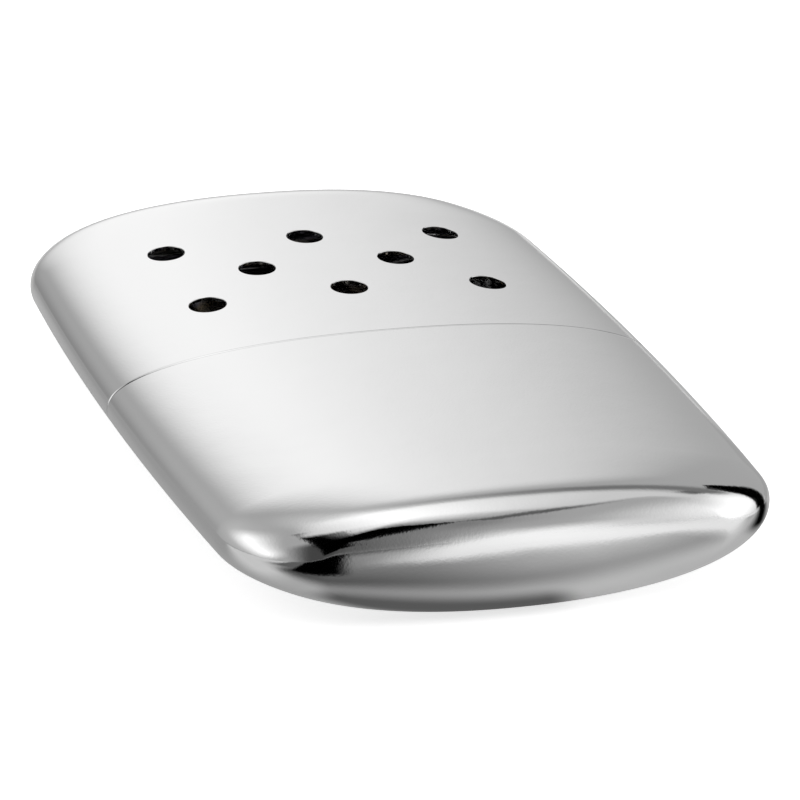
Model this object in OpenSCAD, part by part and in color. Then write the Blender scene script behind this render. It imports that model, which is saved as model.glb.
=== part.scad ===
// Catalytic hand warmer: a drawn metal tank full of cotton, a burner that clips on
// its neck, and a vented cap that slides over both. It lies on its back: X is the
// width, +Y points to the cap's end and +Z is up, with the back's flat at Z = 0.

/* [Body] */
// Width across the middle
body_w = 66.7; // [64:0.1:70]
// Length over both ends
body_l = 101; // [98:0.5:106]
// Thickness
body_t = 14; // [13.5:0.1:16]
// Where tank and cap meet, from the middle of the length
seam_y = -0.5; // [-3:0.1:1]
// How far each side draws in at the ends
side_draw = 2.25; // [0:0.05:3]
// Share of the width that is flat, front and back
land_share = 0.2; // [0.1:0.05:0.3]
// Squareness of the cross section, where 2 is an ellipse
edge_power = 2.25; // [2:0.05:2.6]
// Thickness of the drawn metal
wall = 0.5; // [0.4:0.05:0.6]
// Gap that shows as the seam
seam_gap = 0.15; // [0.1:0.05:0.3]

/* [Tank end] */
// Corner radius seen from above
tank_corner_r = 11; // [9:0.5:13]
// Rise of the arched end between its corners
tank_arch = 2; // [1:0.1:3]
// Depth over which the end rounds off
tank_round = 6; // [5:0.5:9]
// Squareness of that rounding, where 2 is an ellipse
tank_power = 3; // [2:0.1:3.5]

/* [Cap end] */
// Corner radius seen from above
cap_corner_r = 14; // [12:0.5:16]
// Rise of the arched end between its corners
cap_arch = 0.5; // [0.3:0.1:2]
// Depth over which the end rounds off
cap_round = 7; // [5:0.5:9]
// Squareness of that rounding, where 2 is an ellipse
cap_power = 2.7; // [2:0.1:3.5]

/* [Vents] */
// Diameter of a vent
vent_d = 4.4; // [3.5:0.1:5]
// Spacing of the vents across a row
vent_pitch = 17.4; // [15:0.1:18]
// Spacing of the rows
vent_row = 8.5; // [7:0.1:9]
// Middle row, from the middle of the length
vent_y = 21.8; // [20:0.1:24]

/* [Shoulder] */
// Height of the deck over the seam
deck_h = 7; // [6:0.5:8]
// How far the shoulder reaches down into the tank
shoulder_in = 6; // [4:0.5:8]
// Rounding of the deck's edge
deck_edge_r = 1.5; // [1:0.1:2]
// Gap between the shoulder and the shells round it
slide_gap = 0.12; // [0.1:0.01:0.2]

/* [Neck] */
// Width of the neck
neck_w = 31; // [28:0.5:32]
// Thickness of the neck
neck_t = 6.6; // [6:0.1:6.8]
// Height of the neck over the deck
neck_h = 6.5; // [6:0.1:7]
// Free depth over the felt
mouth_depth = 4.8; // [4.6:0.1:5.4]
// Length of the felt pad
felt_l = 10; // [8:0.5:12]

/* [Burner] */
// Width of the burner's seat
burner_w = 36; // [35:0.5:37]
// Thickness of the burner's seat
burner_t = 9; // [8.8:0.1:9.2]
// Height of the cage
cage_h = 11; // [9:0.5:13]
// Number of slots on each side of the cage
slot_count = 8; // [6:1:9]
// Width of a slot
slot_w = 1.8; // [1.2:0.1:2]
// Number of vapour holes in the cage's top
top_hole_count = 5; // [3:1:7]
// Thickness of the burner's sheet
sheet = 0.45; // [0.4:0.05:0.5]

/* [Cotton] */
// Length of the cotton in the tank
cotton_l = 40; // [34:0.5:41]
// Gap between the wads
cotton_gap = 1; // [0.5:0.1:2]

/* [Hidden] */

around = 64;
end_steps = 11;
side_steps = 4;
edge_steps = 4;
tip_depth = 0.02;
over = 1;
fit = 0.04;

mid_z = body_t / 2;
land_rise = pow(1 - pow(land_share, 2), -1 / edge_power);
// Each end is its corner radius, arch, rounding depth and squareness
TANK_END = [tank_corner_r, tank_arch, tank_round, tank_power];
CAP_END = [cap_corner_r, cap_arch, cap_round, cap_power];

deck_y = seam_y + deck_h;
neck_top_y = deck_y + neck_h;
felt_top_y = neck_top_y - mouth_depth;
neck_wall = 0.5;
neck_flange = 1;
skirt_gap = 0.08;

seat_y = neck_top_y + 0.1;
floor_y = seat_y + sheet;
cage_w = burner_w - 1;
cage_t = burner_t - 1;
gauze_t = 0.3;
seat_rim = 1.5;
skirt_lift = 0.4;
ear_l = 2.6;
ear_w = 5;
ear_h = 5;
slot_pitch = 3.1;
slot_margin = 1.9;
top_hole_d = 2;
top_hole_pitch = 4.6;
top_rim = 1.2;

wad_around = 28;
wad_steps = 8;
wad_power = 2.5;
wad_middle_w = 21;
wad_side_w = 17;
wad_middle_t = 11.4;
wad_side_t = 9.4;
wad_top_y = felt_top_y - felt_l - cotton_gap;

// Half the plan width at a depth from an end's tip: an arch that runs into round corners
function end_half(depth, half_w, corner_r, arch) =
    let (
        corner_x = half_w - corner_r,
        corner_y = corner_r + arch,
        arch_r = (pow(corner_x, 2) + pow(corner_y, 2) - pow(corner_r, 2)) / (2 * arch),
        meet_y = arch_r - (arch_r - corner_y) * arch_r / (arch_r - corner_r)
    )
    depth >= corner_y ? half_w
    : depth >= meet_y ? corner_x + sqrt(pow(corner_r, 2) - pow(corner_y - depth, 2))
    : sqrt(pow(arch_r, 2) - pow(arch_r - depth, 2));

// Share of the full thickness at a depth from an end's tip
function end_rise(depth, round_l, power) =
    depth >= round_l ? 1 : pow(1 - pow(1 - depth / round_l, power), 1 / power);

// Half the width between the ends, where the long sides bow out
function side_half(y) = body_w / 2 - side_draw * pow(2 * y / body_l, 2);

// One closed cross section, a rounded lens with a flat land on both sides
function section(y, half_w, half_t, turn = 1) =
    [for (i = [0 : around - 1])
        let (
            angle = 360 * i / around,
            rise = min(1, land_rise * pow(abs(sin(angle)), 2 / edge_power))
        )
        [turn * half_w * cos(angle), y, mid_z + sign(sin(angle)) * rise * half_t]];

// The cross section at a depth from the tip of the end on side turn
function end_section(depth, inset, turn, end) =
    let (
        y = turn * (body_l / 2 - inset - depth),
        full_half = body_w / 2 - inset,
        plan_half = end_half(depth, full_half, end[0] - inset, end[1]),
        half_w = plan_half * (side_half(y) - inset) / full_half,
        half_t = (body_t / 2 - inset) * end_rise(depth, end[2] - inset, end[3])
    )
    section(y, half_w, half_t, turn);

// Cross sections from an end's tip to the mouth at mouth_y
function half_shell(inset, turn, end, mouth_y) =
    let (
        round_depth = max(end[0] + end[1], end[2]) - inset,
        mouth_reach = body_l / 2 - inset - turn * mouth_y
    )
    [
        for (i = [0 : end_steps])
            end_section(max(tip_depth, round_depth * (1 - cos(90 * i / end_steps))), inset, turn, end),
        for (i = [1 : side_steps])
            end_section(round_depth + (mouth_reach - round_depth) * i / side_steps, inset, turn, end)
    ];

function reversed(list) = [for (i = [len(list) - 1 : -1 : 0]) list[i]];

// A closed skin over a row of rings, with its first and last ring filled
module ring_stack(rings) {
    n = len(rings[0]);
    last = n * (len(rings) - 1);
    sides = [for (r = [0 : len(rings) - 2]) for (i = [0 : n - 1])
        let (a = r * n + i, b = r * n + (i + 1) % n)
        each [[a, b + n, b], [a, a + n, b + n]]];
    first_fill = [for (i = [0 : n - 1]) i];
    last_fill = [for (i = [n - 1 : -1 : 0]) last + i];
    polyhedron(points = [for (ring = rings) each ring], faces = concat(sides, [first_fill, last_fill]));
}

// A drawn cup: down its outside to the mouth, then back up its inside
module drawn_cup(turn, end, mouth_y) {
    outside = half_shell(0, turn, end, mouth_y);
    inside = half_shell(wall, turn, end, mouth_y);
    ring_stack(concat(outside, reversed(inside)));
}

module stadium(w, t) {
    square([w - t, t], center = true);
    for (side = [-1, 1])
        translate([side * (w - t) / 2, 0])
            circle(d = t, $fn = 48);
}

module stadium_ring(w, t, thick) {
    difference() {
        stadium(w, t);
        stadium(w - 2 * thick, t - 2 * thick);
    }
}

// Stands a flat outline up along the length, from y over a height
module rise(y, h) {
    translate([0, y, mid_z])
        rotate([-90, 0, 0])
            linear_extrude(h)
                children();
}

// A plump wad of cotton between two places along the length
module cotton_wad(middle_x, w, t) {
    ring_stack([for (i = [0 : wad_steps])
        let (
            along = -cos(180 * (i + 0.35) / (wad_steps + 0.7)),
            swell = pow(1 - pow(abs(along), wad_power), 1 / wad_power),
            y = wad_top_y - cotton_l * (1 + along) / 2
        )
        [for (j = [0 : wad_around - 1])
            let (angle = 360 * j / wad_around)
            [
                middle_x + w / 2 * swell * sign(cos(angle)) * pow(abs(cos(angle)), 2 / wad_power),
                y,
                mid_z + t / 2 * swell * sign(sin(angle)) * pow(abs(sin(angle)), 2 / wad_power)
            ]]]);
}

module tank_shell() {
    color("gainsboro")
        drawn_cup(-1, TANK_END, seam_y - seam_gap / 2);
}

module tank_shoulder() {
    foot_y = seam_y - shoulder_in;
    half_w = side_half(deck_y) - wall - slide_gap;
    half_t = body_t / 2 - wall - slide_gap;
    // From the deck's flat over its rounded edge and down to the foot
    outside = [
        for (i = [0 : edge_steps])
            let (
                angle = 90 * i / edge_steps,
                inset = deck_edge_r * (1 - sin(angle))
            )
            section(deck_y - deck_edge_r * (1 - cos(angle)), half_w - inset, half_t - inset),
        section(foot_y, half_w, half_t)
    ];
    inner_r = deck_edge_r - wall;
    inside = [
        for (i = [0 : edge_steps])
            let (
                angle = 90 * i / edge_steps,
                inset = wall + inner_r * (1 - sin(angle))
            )
            section(deck_y - wall - inner_r * (1 - cos(angle)), half_w - inset, half_t - inset),
        section(foot_y, half_w - wall, half_t - wall)
    ];
    color("lightgray")
        difference() {
            ring_stack(concat(outside, reversed(inside)));
            rise(deck_y - over, 2 * over)
                stadium(neck_w + 2 * fit, neck_t + 2 * fit);
        }
}

module filler_neck() {
    flange_y = deck_y - 2 * wall;
    color("darkkhaki") {
        rise(flange_y, neck_top_y - flange_y)
            stadium_ring(neck_w, neck_t, neck_wall);
        rise(flange_y, wall)
            stadium_ring(neck_w + 2 * neck_flange, neck_t + 2 * neck_flange, neck_flange + fit);
    }
}

module neck_felt() {
    inner_gap = neck_wall + fit;
    color("ivory")
        rise(felt_top_y - felt_l, felt_l)
            stadium(neck_w - 2 * inner_gap, neck_t - 2 * inner_gap);
}

module cotton_wad_left() {
    color("white")
        cotton_wad(-(wad_middle_w + wad_side_w) / 2 - cotton_gap, wad_side_w, wad_side_t);
}

module cotton_wad_middle() {
    color("white")
        cotton_wad(0, wad_middle_w, wad_middle_t);
}

module cotton_wad_right() {
    color("white")
        cotton_wad((wad_middle_w + wad_side_w) / 2 + cotton_gap, wad_side_w, wad_side_t);
}

module burner_skirt() {
    sleeve_w = neck_w + 2 * (skirt_gap + sheet);
    sleeve_t = neck_t + 2 * (skirt_gap + sheet);
    window_w = neck_w - 2 * neck_wall;
    window_t = neck_t - 2 * neck_wall;
    color("silver") {
        // Sleeve over the neck
        rise(deck_y + skirt_lift, floor_y - deck_y - skirt_lift)
            stadium_ring(sleeve_w, sleeve_t, sheet);
        // Seat with the window for the vapour
        rise(seat_y, sheet)
            difference() {
                stadium(burner_w, burner_t);
                stadium(window_w, window_t);
            }
        // Rim round the cage
        rise(seat_y, seat_rim + sheet)
            stadium_ring(burner_w, burner_t, sheet);
        // Finger ears
        for (side = [-1, 1]) {
            ear_x = side * (burner_w / 2 + ear_l / 2 - sheet / 2);
            translate([ear_x, seat_y + sheet / 2, mid_z])
                cube([ear_l + sheet, sheet, ear_w], center = true);
            translate([side * (burner_w / 2 + ear_l - sheet / 2), seat_y + ear_h / 2, mid_z])
                cube([sheet, ear_h, ear_w], center = true);
        }
    }
}

module seat_gauze() {
    inner_gap = sheet + fit;
    color("dimgray")
        rise(floor_y, gauze_t)
            stadium(cage_w - 2 * inner_gap, cage_t - 2 * inner_gap);
}

module burner_cage() {
    slot_h = cage_h - 2 * slot_margin - slot_w;
    color("silver")
        difference() {
            rise(floor_y, cage_h)
                stadium_ring(cage_w, cage_t, sheet);
            // Upright slots with round ends, through both sides
            for (i = [0 : slot_count - 1])
                translate([(i - (slot_count - 1) / 2) * slot_pitch, floor_y + cage_h / 2, mid_z - cage_t])
                    linear_extrude(2 * cage_t) {
                        square([slot_w, slot_h], center = true);
                        for (side = [-1, 1])
                            translate([0, side * slot_h / 2])
                                circle(d = slot_w, $fn = 24);
                    }
        }
}

module cage_gauze() {
    inner_gap = sheet + fit;
    color("dimgray")
        rise(floor_y + gauze_t + fit, cage_h - gauze_t - 2 * fit)
            stadium_ring(cage_w - 2 * inner_gap, cage_t - 2 * inner_gap, gauze_t);
}

module catalyst_mat() {
    inner_gap = sheet + gauze_t + 2 * fit;
    color("whitesmoke")
        rise(floor_y + gauze_t + fit, cage_h - gauze_t - 3 * fit)
            stadium(cage_w - 2 * inner_gap, cage_t - 2 * inner_gap);
}

module cage_top() {
    top_y = floor_y + cage_h;
    top_w = cage_w + 2 * (sheet + fit);
    top_t = cage_t + 2 * (sheet + fit);
    color("silver") {
        rise(top_y, sheet)
            difference() {
                stadium(top_w, top_t);
                for (i = [0 : top_hole_count - 1])
                    translate([(i - (top_hole_count - 1) / 2) * top_hole_pitch, 0])
                        circle(d = top_hole_d, $fn = 24);
            }
        rise(top_y - top_rim, top_rim + sheet)
            stadium_ring(top_w, top_t, sheet);
    }
}

module cap_shell() {
    color("gainsboro")
        difference() {
            drawn_cup(1, CAP_END, seam_y + seam_gap / 2);
            // Three rows of vents, the middle row set between the others
            for (row = [-1 : 1])
                for (column = row == 0 ? [-0.5, 0.5] : [-1, 0, 1])
                    translate([column * vent_pitch, vent_y + row * vent_row, -over])
                        cylinder(d = vent_d, h = body_t + 2 * over, $fn = 48);
        }
}

tank_shell();
tank_shoulder();
filler_neck();
neck_felt();
cotton_wad_left();
cotton_wad_middle();
cotton_wad_right();
burner_skirt();
seat_gauze();
burner_cage();
cage_gauze();
catalyst_mat();
cage_top();
cap_shell();
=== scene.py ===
import math

import bmesh
import bpy
import numpy as np
from mathutils import Matrix, Vector, noise


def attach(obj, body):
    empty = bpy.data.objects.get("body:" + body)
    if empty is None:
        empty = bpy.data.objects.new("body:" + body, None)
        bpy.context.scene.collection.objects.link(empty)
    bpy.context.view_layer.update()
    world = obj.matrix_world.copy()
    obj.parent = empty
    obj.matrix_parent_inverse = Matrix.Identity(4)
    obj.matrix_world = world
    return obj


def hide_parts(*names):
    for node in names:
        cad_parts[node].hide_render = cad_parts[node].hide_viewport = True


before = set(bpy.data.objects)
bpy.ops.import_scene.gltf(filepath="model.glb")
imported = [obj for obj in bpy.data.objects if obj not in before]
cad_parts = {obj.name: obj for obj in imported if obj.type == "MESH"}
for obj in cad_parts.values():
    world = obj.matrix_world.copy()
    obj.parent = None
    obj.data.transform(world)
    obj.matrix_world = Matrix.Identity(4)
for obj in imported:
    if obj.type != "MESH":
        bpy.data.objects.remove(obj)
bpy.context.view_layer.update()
scene = bpy.context.scene

# ---------------------------------------------------------------------------------
# Tank: a deep-drawn brass cup with an arched, rounded-off end, buffed on a wheel and
# plated with bright chrome. Its mouth is trimmed square and the cut edge broken. It
# is lofted through stations that run over the end, along the side and back inside.

MM = 0.001
BODY_W, BODY_L, BODY_T = 66.7, 101.0, 14.0
MID_Z = BODY_T / 2
SIDE_DRAW = 2.25
SHEET_WALL = 0.5
TANK_LIP_R, CAP_LIP_R = 0.05, 0.25
SEAM_Y, SEAM_GAP = -0.5, 0.15
# Powers of the cross section's curve, across the width and through the thickness
WIDTH_POWER, THICK_POWER = 2.2, 2.25
# Corner radius, arch, rounding depth and squareness of the end of the tank, and of the cap's
TANK_END = (11.0, 2.0, 6.0, 3.0)


def add(tree, kind, values=None, **settings):
    """Adds a node with its settings; values are numbers, or the nodes and outputs that feed it."""
    node = tree.nodes.new(kind)
    for name, value in settings.items():
        setattr(node, name, value)
    for key, value in (values or {}).items():
        if isinstance(value, bpy.types.Node):
            value = value.outputs[0]
        if isinstance(value, bpy.types.NodeSocket):
            tree.links.new(value, node.inputs[key])
        else:
            node.inputs[key].default_value = value
    return node


def linear(hex_colour):
    """An sRGB hex colour as linear red, green, blue and alpha."""
    parts = [int(hex_colour[i : i + 2], 16) / 255 for i in (1, 3, 5)]
    return [c / 12.92 if c <= 0.04045 else ((c + 0.055) / 1.055) ** 2.4 for c in parts] + [1.0]


def new_tree(name, sizes):
    """An empty Geometry Nodes tree with named inputs, and the node that gives them."""
    tree = bpy.data.node_groups.new(name, "GeometryNodeTree")
    tree.interface.new_socket("Geometry", in_out="OUTPUT", socket_type="NodeSocketGeometry")
    for label, kind in [("Geometry", "Geometry"), *sizes, ("Material", "Material")]:
        tree.interface.new_socket(label, in_out="INPUT", socket_type="NodeSocket" + kind)
    return tree, tree.nodes.new("NodeGroupInput").outputs


def end_tree(tree, geometry, given):
    """Ends a tree in real geometry that carries its material."""
    real = add(tree, "GeometryNodeRealizeInstances", {"Geometry": geometry})
    finish = add(tree, "GeometryNodeSetMaterial", {"Geometry": real, "Material": given["Material"]})
    add(tree, "NodeGroupOutput", {0: finish})


def grown(name, tree, base, sizes):
    """The plain mesh that a tree grows from a base mesh, as an object at the origin."""
    piece = bpy.data.objects.new(name, base)
    scene.collection.objects.link(piece)
    modifier = piece.modifiers.new(tree.name, "NODES")
    modifier.node_group = tree
    for item in tree.interface.items_tree:
        if item.in_out == "INPUT" and item.name in sizes:
            modifier[item.identifier] = sizes[item.name]
    graph = bpy.context.evaluated_depsgraph_get()
    mesh = bpy.data.meshes.new_from_object(piece.evaluated_get(graph), depsgraph=graph)
    piece.modifiers.clear()
    piece.data = mesh
    mesh.name = name
    if "Material" in sizes:
        mesh.materials.clear()
        mesh.materials.append(sizes["Material"])
        mesh.polygons.foreach_set("material_index", [0] * len(mesh.polygons))
    return piece


def row_of(tree, index, columns):
    """The row of a grid that a point lies in, from the point's index."""
    nudged = add(tree, "ShaderNodeMath", {0: index, 1: 0.5}, operation="ADD")
    row = add(tree, "ShaderNodeMath", {0: nudged, 1: columns}, operation="DIVIDE")
    return add(tree, "ShaderNodeMath", {0: row}, operation="FLOOR")


def step_of(tree, index, row, columns):
    """The place in its row of a grid's point."""
    before = add(tree, "ShaderNodeMath", {0: row, 1: columns}, operation="MULTIPLY")
    return add(tree, "ShaderNodeMath", {0: index, 1: before}, operation="SUBTRACT")


def loft_tree(name, across, sizes=()):
    """A tree that lofts a closed cross section along a rail of stations. A station's X is the
    half width there, its Y the place along the length and its Z the half thickness. across
    adds the nodes that give a point's X and Z from its step round the section."""
    tree, given = new_tree(name, [("Steps Around", "Int"), ("Middle Height", "Float"), *sizes])
    rail = given["Geometry"]
    rings = add(tree, "GeometryNodeAttributeDomainSize", {"Geometry": rail}, component="MESH")
    columns = add(tree, "ShaderNodeMath", {0: given["Steps Around"], 1: 1.0}, operation="ADD")
    grid = add(
        tree,
        "GeometryNodeMeshGrid",
        {"Vertices X": rings.outputs["Point Count"], "Vertices Y": columns},
    )
    index = add(tree, "GeometryNodeInputIndex")
    row = row_of(tree, index, columns)
    step = step_of(tree, index, row, columns)
    place = add(tree, "GeometryNodeInputPosition")
    station = add(
        tree,
        "GeometryNodeSampleIndex",
        {"Geometry": rail, "Value": place, "Index": row},
        data_type="FLOAT_VECTOR",
        domain="POINT",
    )
    station = add(tree, "ShaderNodeSeparateXYZ", {0: station})
    x, z = across(tree, given, step, station.outputs["X"], station.outputs["Z"])
    z = add(tree, "ShaderNodeMath", {0: z, 1: given["Middle Height"]}, operation="ADD")
    spot = add(tree, "ShaderNodeCombineXYZ", {"X": x, "Y": station.outputs["Y"], "Z": z})
    skin = add(tree, "GeometryNodeSetPosition", {"Geometry": grid, "Position": spot})
    closed = add(tree, "GeometryNodeMergeByDistance", {"Geometry": skin, "Distance": 1e-6})
    smooth = add(tree, "GeometryNodeSetShadeSmooth", {"Geometry": closed, "Shade Smooth": True})
    end_tree(tree, smooth, given)
    return tree


def lens_across(tree, given, step, half_w, half_t):
    """A rounded lens: X is a cosine, and Z rises as (1 - |cosine| ** a) ** (1 / b)."""
    turn = add(tree, "ShaderNodeMath", {0: step, 1: 2 * math.pi}, operation="MULTIPLY")
    turn = add(tree, "ShaderNodeMath", {0: turn, 1: given["Steps Around"]}, operation="DIVIDE")
    cosine = add(tree, "ShaderNodeMath", {0: turn}, operation="COSINE")
    sine = add(tree, "ShaderNodeMath", {0: turn}, operation="SINE")
    side = add(tree, "ShaderNodeMath", {0: sine}, operation="SIGN")
    reach = add(tree, "ShaderNodeMath", {0: cosine}, operation="ABSOLUTE")
    reach = add(tree, "ShaderNodeMath", {0: reach, 1: WIDTH_POWER}, operation="POWER")
    left = add(tree, "ShaderNodeMath", {0: 1.0, 1: reach}, operation="SUBTRACT")
    rise = add(tree, "ShaderNodeMath", {0: left, 1: 1 / THICK_POWER}, operation="POWER")
    rise = add(tree, "ShaderNodeMath", {0: rise, 1: side}, operation="MULTIPLY")
    x = add(tree, "ShaderNodeMath", {0: half_w, 1: cosine}, operation="MULTIPLY")
    z = add(tree, "ShaderNodeMath", {0: half_t, 1: rise}, operation="MULTIPLY")
    return x, z


def end_half(depth, half_w, corner_r, arch):
    """Half the plan width at a depth from an end's tip: an arch that runs into round corners."""
    corner_x, corner_y = half_w - corner_r, corner_r + arch
    arch_r = (corner_x**2 + corner_y**2 - corner_r**2) / (2 * arch)
    meet_y = arch_r - (arch_r - corner_y) * arch_r / (arch_r - corner_r)
    if depth >= corner_y:
        return half_w
    if depth >= meet_y:
        return corner_x + math.sqrt(corner_r**2 - (corner_y - depth) ** 2)
    return math.sqrt(max(0.0, arch_r**2 - (arch_r - depth) ** 2))


def end_rise(depth, round_l, power):
    """Share of the full thickness at a depth from an end's tip."""
    return 1.0 if depth >= round_l else (1 - (1 - depth / round_l) ** power) ** (1 / power)


def side_half(y):
    """Half the width between the ends, where the long sides bow out."""
    return BODY_W / 2 - SIDE_DRAW * (2 * y / BODY_L) ** 2


def cup_station(depth, inset, turn, end):
    """A cup's half width, place and half thickness at a depth from its tip."""
    corner_r, arch, round_l, power = end
    y = turn * (BODY_L / 2 - inset - depth)
    full_half = BODY_W / 2 - inset
    plan_half = end_half(depth, full_half, corner_r - inset, arch)
    half_t = (BODY_T / 2 - inset) * end_rise(depth, round_l - inset, power)
    return plan_half * (side_half(y) - inset) / full_half, y, half_t


def cup_rail(turn, end, mouth_y, lip_r):
    """Stations of a drawn cup, over its outside, round the mouth's edge and up its inside."""
    lip_step = 15
    skins = []
    # Each skin's inset, and its steps over the end and along the side
    for inset, tip_steps, side_steps in ((0.0, 56, 48), (SHEET_WALL, 30, 18)):
        near = end[0] + end[1] - inset
        reach = BODY_L / 2 - inset - turn * mouth_y - lip_r
        depths = [near * (i / tip_steps) ** 3 for i in range(tip_steps + 1)]
        depths += [near + (reach - near) * i / side_steps for i in range(1, side_steps + 1)]
        skins.append([cup_station(depth, inset, turn, end) for depth in depths])
    lip = []
    for inset_centre, start, stop in ((lip_r, lip_step, 90), (SHEET_WALL - lip_r, 90, 180)):
        for angle in range(start, stop, lip_step):
            inset = inset_centre - lip_r * math.cos(math.radians(angle))
            y = mouth_y + turn * lip_r * (1 - math.sin(math.radians(angle)))
            lip.append((side_half(y) - inset, y, BODY_T / 2 - inset))
    return skins[0] + lip + skins[1][::-1]


def rail_mesh(name, rail):
    """A row of stations, given in millimetres, as a mesh that a loft tree reads."""
    mesh = bpy.data.meshes.new(name)
    mesh.from_pydata([[v * MM for v in station] for station in rail], [], [])
    return mesh


def outward(piece):
    """Turns a closed piece's faces outwards, going by the sign of its volume."""
    shape = bmesh.new()
    shape.from_mesh(piece.data)
    inside_out = shape.calc_volume(signed=True) < 0
    shape.free()
    if inside_out:
        piece.data.flip_normals()
    return piece


def lofted(name, tree, rail, steps, material, arc_share=1.0):
    """A closed piece that a loft tree grows along a rail. arc_share is for a flat oval only."""
    sizes = {"Steps Around": steps, "Arc Share": arc_share, "Middle Height": MID_Z * MM}
    return outward(grown(name, tree, rail_mesh(name + " rail", rail), {**sizes, "Material": material}))


def mesh_only(piece):
    """A piece's mesh, for a tree that works on. The object itself is removed."""
    mesh = piece.data
    bpy.data.objects.remove(piece)
    return mesh


def started(material):
    """A material's emptied node tree, and the place on the object to pattern it by."""
    material.use_nodes = True
    nodes = material.node_tree
    nodes.nodes.clear()
    return nodes, add(nodes, "ShaderNodeTexCoord").outputs["Object"]


def true_skin(piece, turn, end, mouth_y, lip_r):
    """Gives a cup's outer skin the normals of its own rule, so that reflections run true."""
    crease, nearby, on_rule, same_way = math.radians(50), 0.001, 0.01, 0.9
    mesh = piece.data
    mesh.set_sharp_from_angle(angle=crease)
    spots = np.zeros(len(mesh.vertices) * 3, np.float32)
    mesh.vertices.foreach_get("co", spots)
    x, y, z = (spots.reshape(-1, 3).astype(float) / MM).T
    z = z - MID_Z
    depth = np.maximum(BODY_L / 2 - turn * y, 1e-4)
    sizes = {}
    for change in (-nearby, 0.0, nearby):
        stations = [cup_station(d * (1 + change), 0.0, turn, end) for d in depth]
        sizes[change] = np.array(stations)[:, [0, 2]].T
    half_w, half_t = sizes[0.0]
    grow_w, grow_t = -turn * (sizes[nearby] - sizes[-nearby]) / (2 * nearby * depth)
    wide, thick = np.abs(x) / half_w, np.abs(z) / half_t
    lean = np.stack(
        [
            WIDTH_POWER * wide ** (WIDTH_POWER - 1) * np.sign(x) / half_w,
            -WIDTH_POWER * wide**WIDTH_POWER * grow_w / half_w
            - THICK_POWER * thick**THICK_POWER * grow_t / half_t,
            THICK_POWER * thick ** (THICK_POWER - 1) * np.sign(z) / half_t,
        ],
        axis=1,
    )
    lean /= np.linalg.norm(lean, axis=1)[:, None]
    on_skin = np.abs(wide**WIDTH_POWER + thick**THICK_POWER - 1) < on_rule
    on_skin &= turn * (y - mouth_y) > lip_r * 0.98
    corners = np.zeros(len(mesh.loops) * 3, np.float32)
    mesh.corner_normals.foreach_get("vector", corners)
    corners = corners.reshape(-1, 3)
    vertex_of = np.zeros(len(mesh.loops), np.int32)
    mesh.loops.foreach_get("vertex_index", vertex_of)
    facing = np.zeros(len(mesh.polygons) * 3, np.float32)
    mesh.polygons.foreach_get("normal", facing)
    sides = np.zeros(len(mesh.polygons), np.int32)
    mesh.polygons.foreach_get("loop_total", sides)
    facing = np.repeat(facing.reshape(-1, 3), sides, axis=0)
    skin_corner = on_skin[vertex_of] & ((facing * lean[vertex_of]).sum(1) > same_way)
    corners[skin_corner] = lean[vertex_of][skin_corner]
    mesh.normals_split_custom_set(corners.tolist())


CUP_STEPS = 256
chrome = bpy.data.materials.new("Bright_chrome_plate_over_buffed_brass")

lens_loft = loft_tree("Drawn cup", lens_across)
tank_mouth = SEAM_Y - SEAM_GAP / 2
tank_rail = cup_rail(-1, TANK_END, tank_mouth, TANK_LIP_R)
tank = lofted("tank_shell_chromed", lens_loft, tank_rail, CUP_STEPS, chrome)
true_skin(tank, -1, TANK_END, tank_mouth, TANK_LIP_R)
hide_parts("tank_shell")
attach(tank, "tank")

# ---------------------------------------------------------------------------------
# Cap: the second drawn cup, which slides over the burner. Eight round vents are
# punched through the front and eight through the back, each with its edge drawn in.

CAP_END = (14.0, 0.5, 7.0, 2.7)
VENT_R, VENT_LIP = 2.2, 0.08
VENT_PITCH, VENT_ROW, VENT_Y = 17.4, 8.5, 21.8


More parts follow.
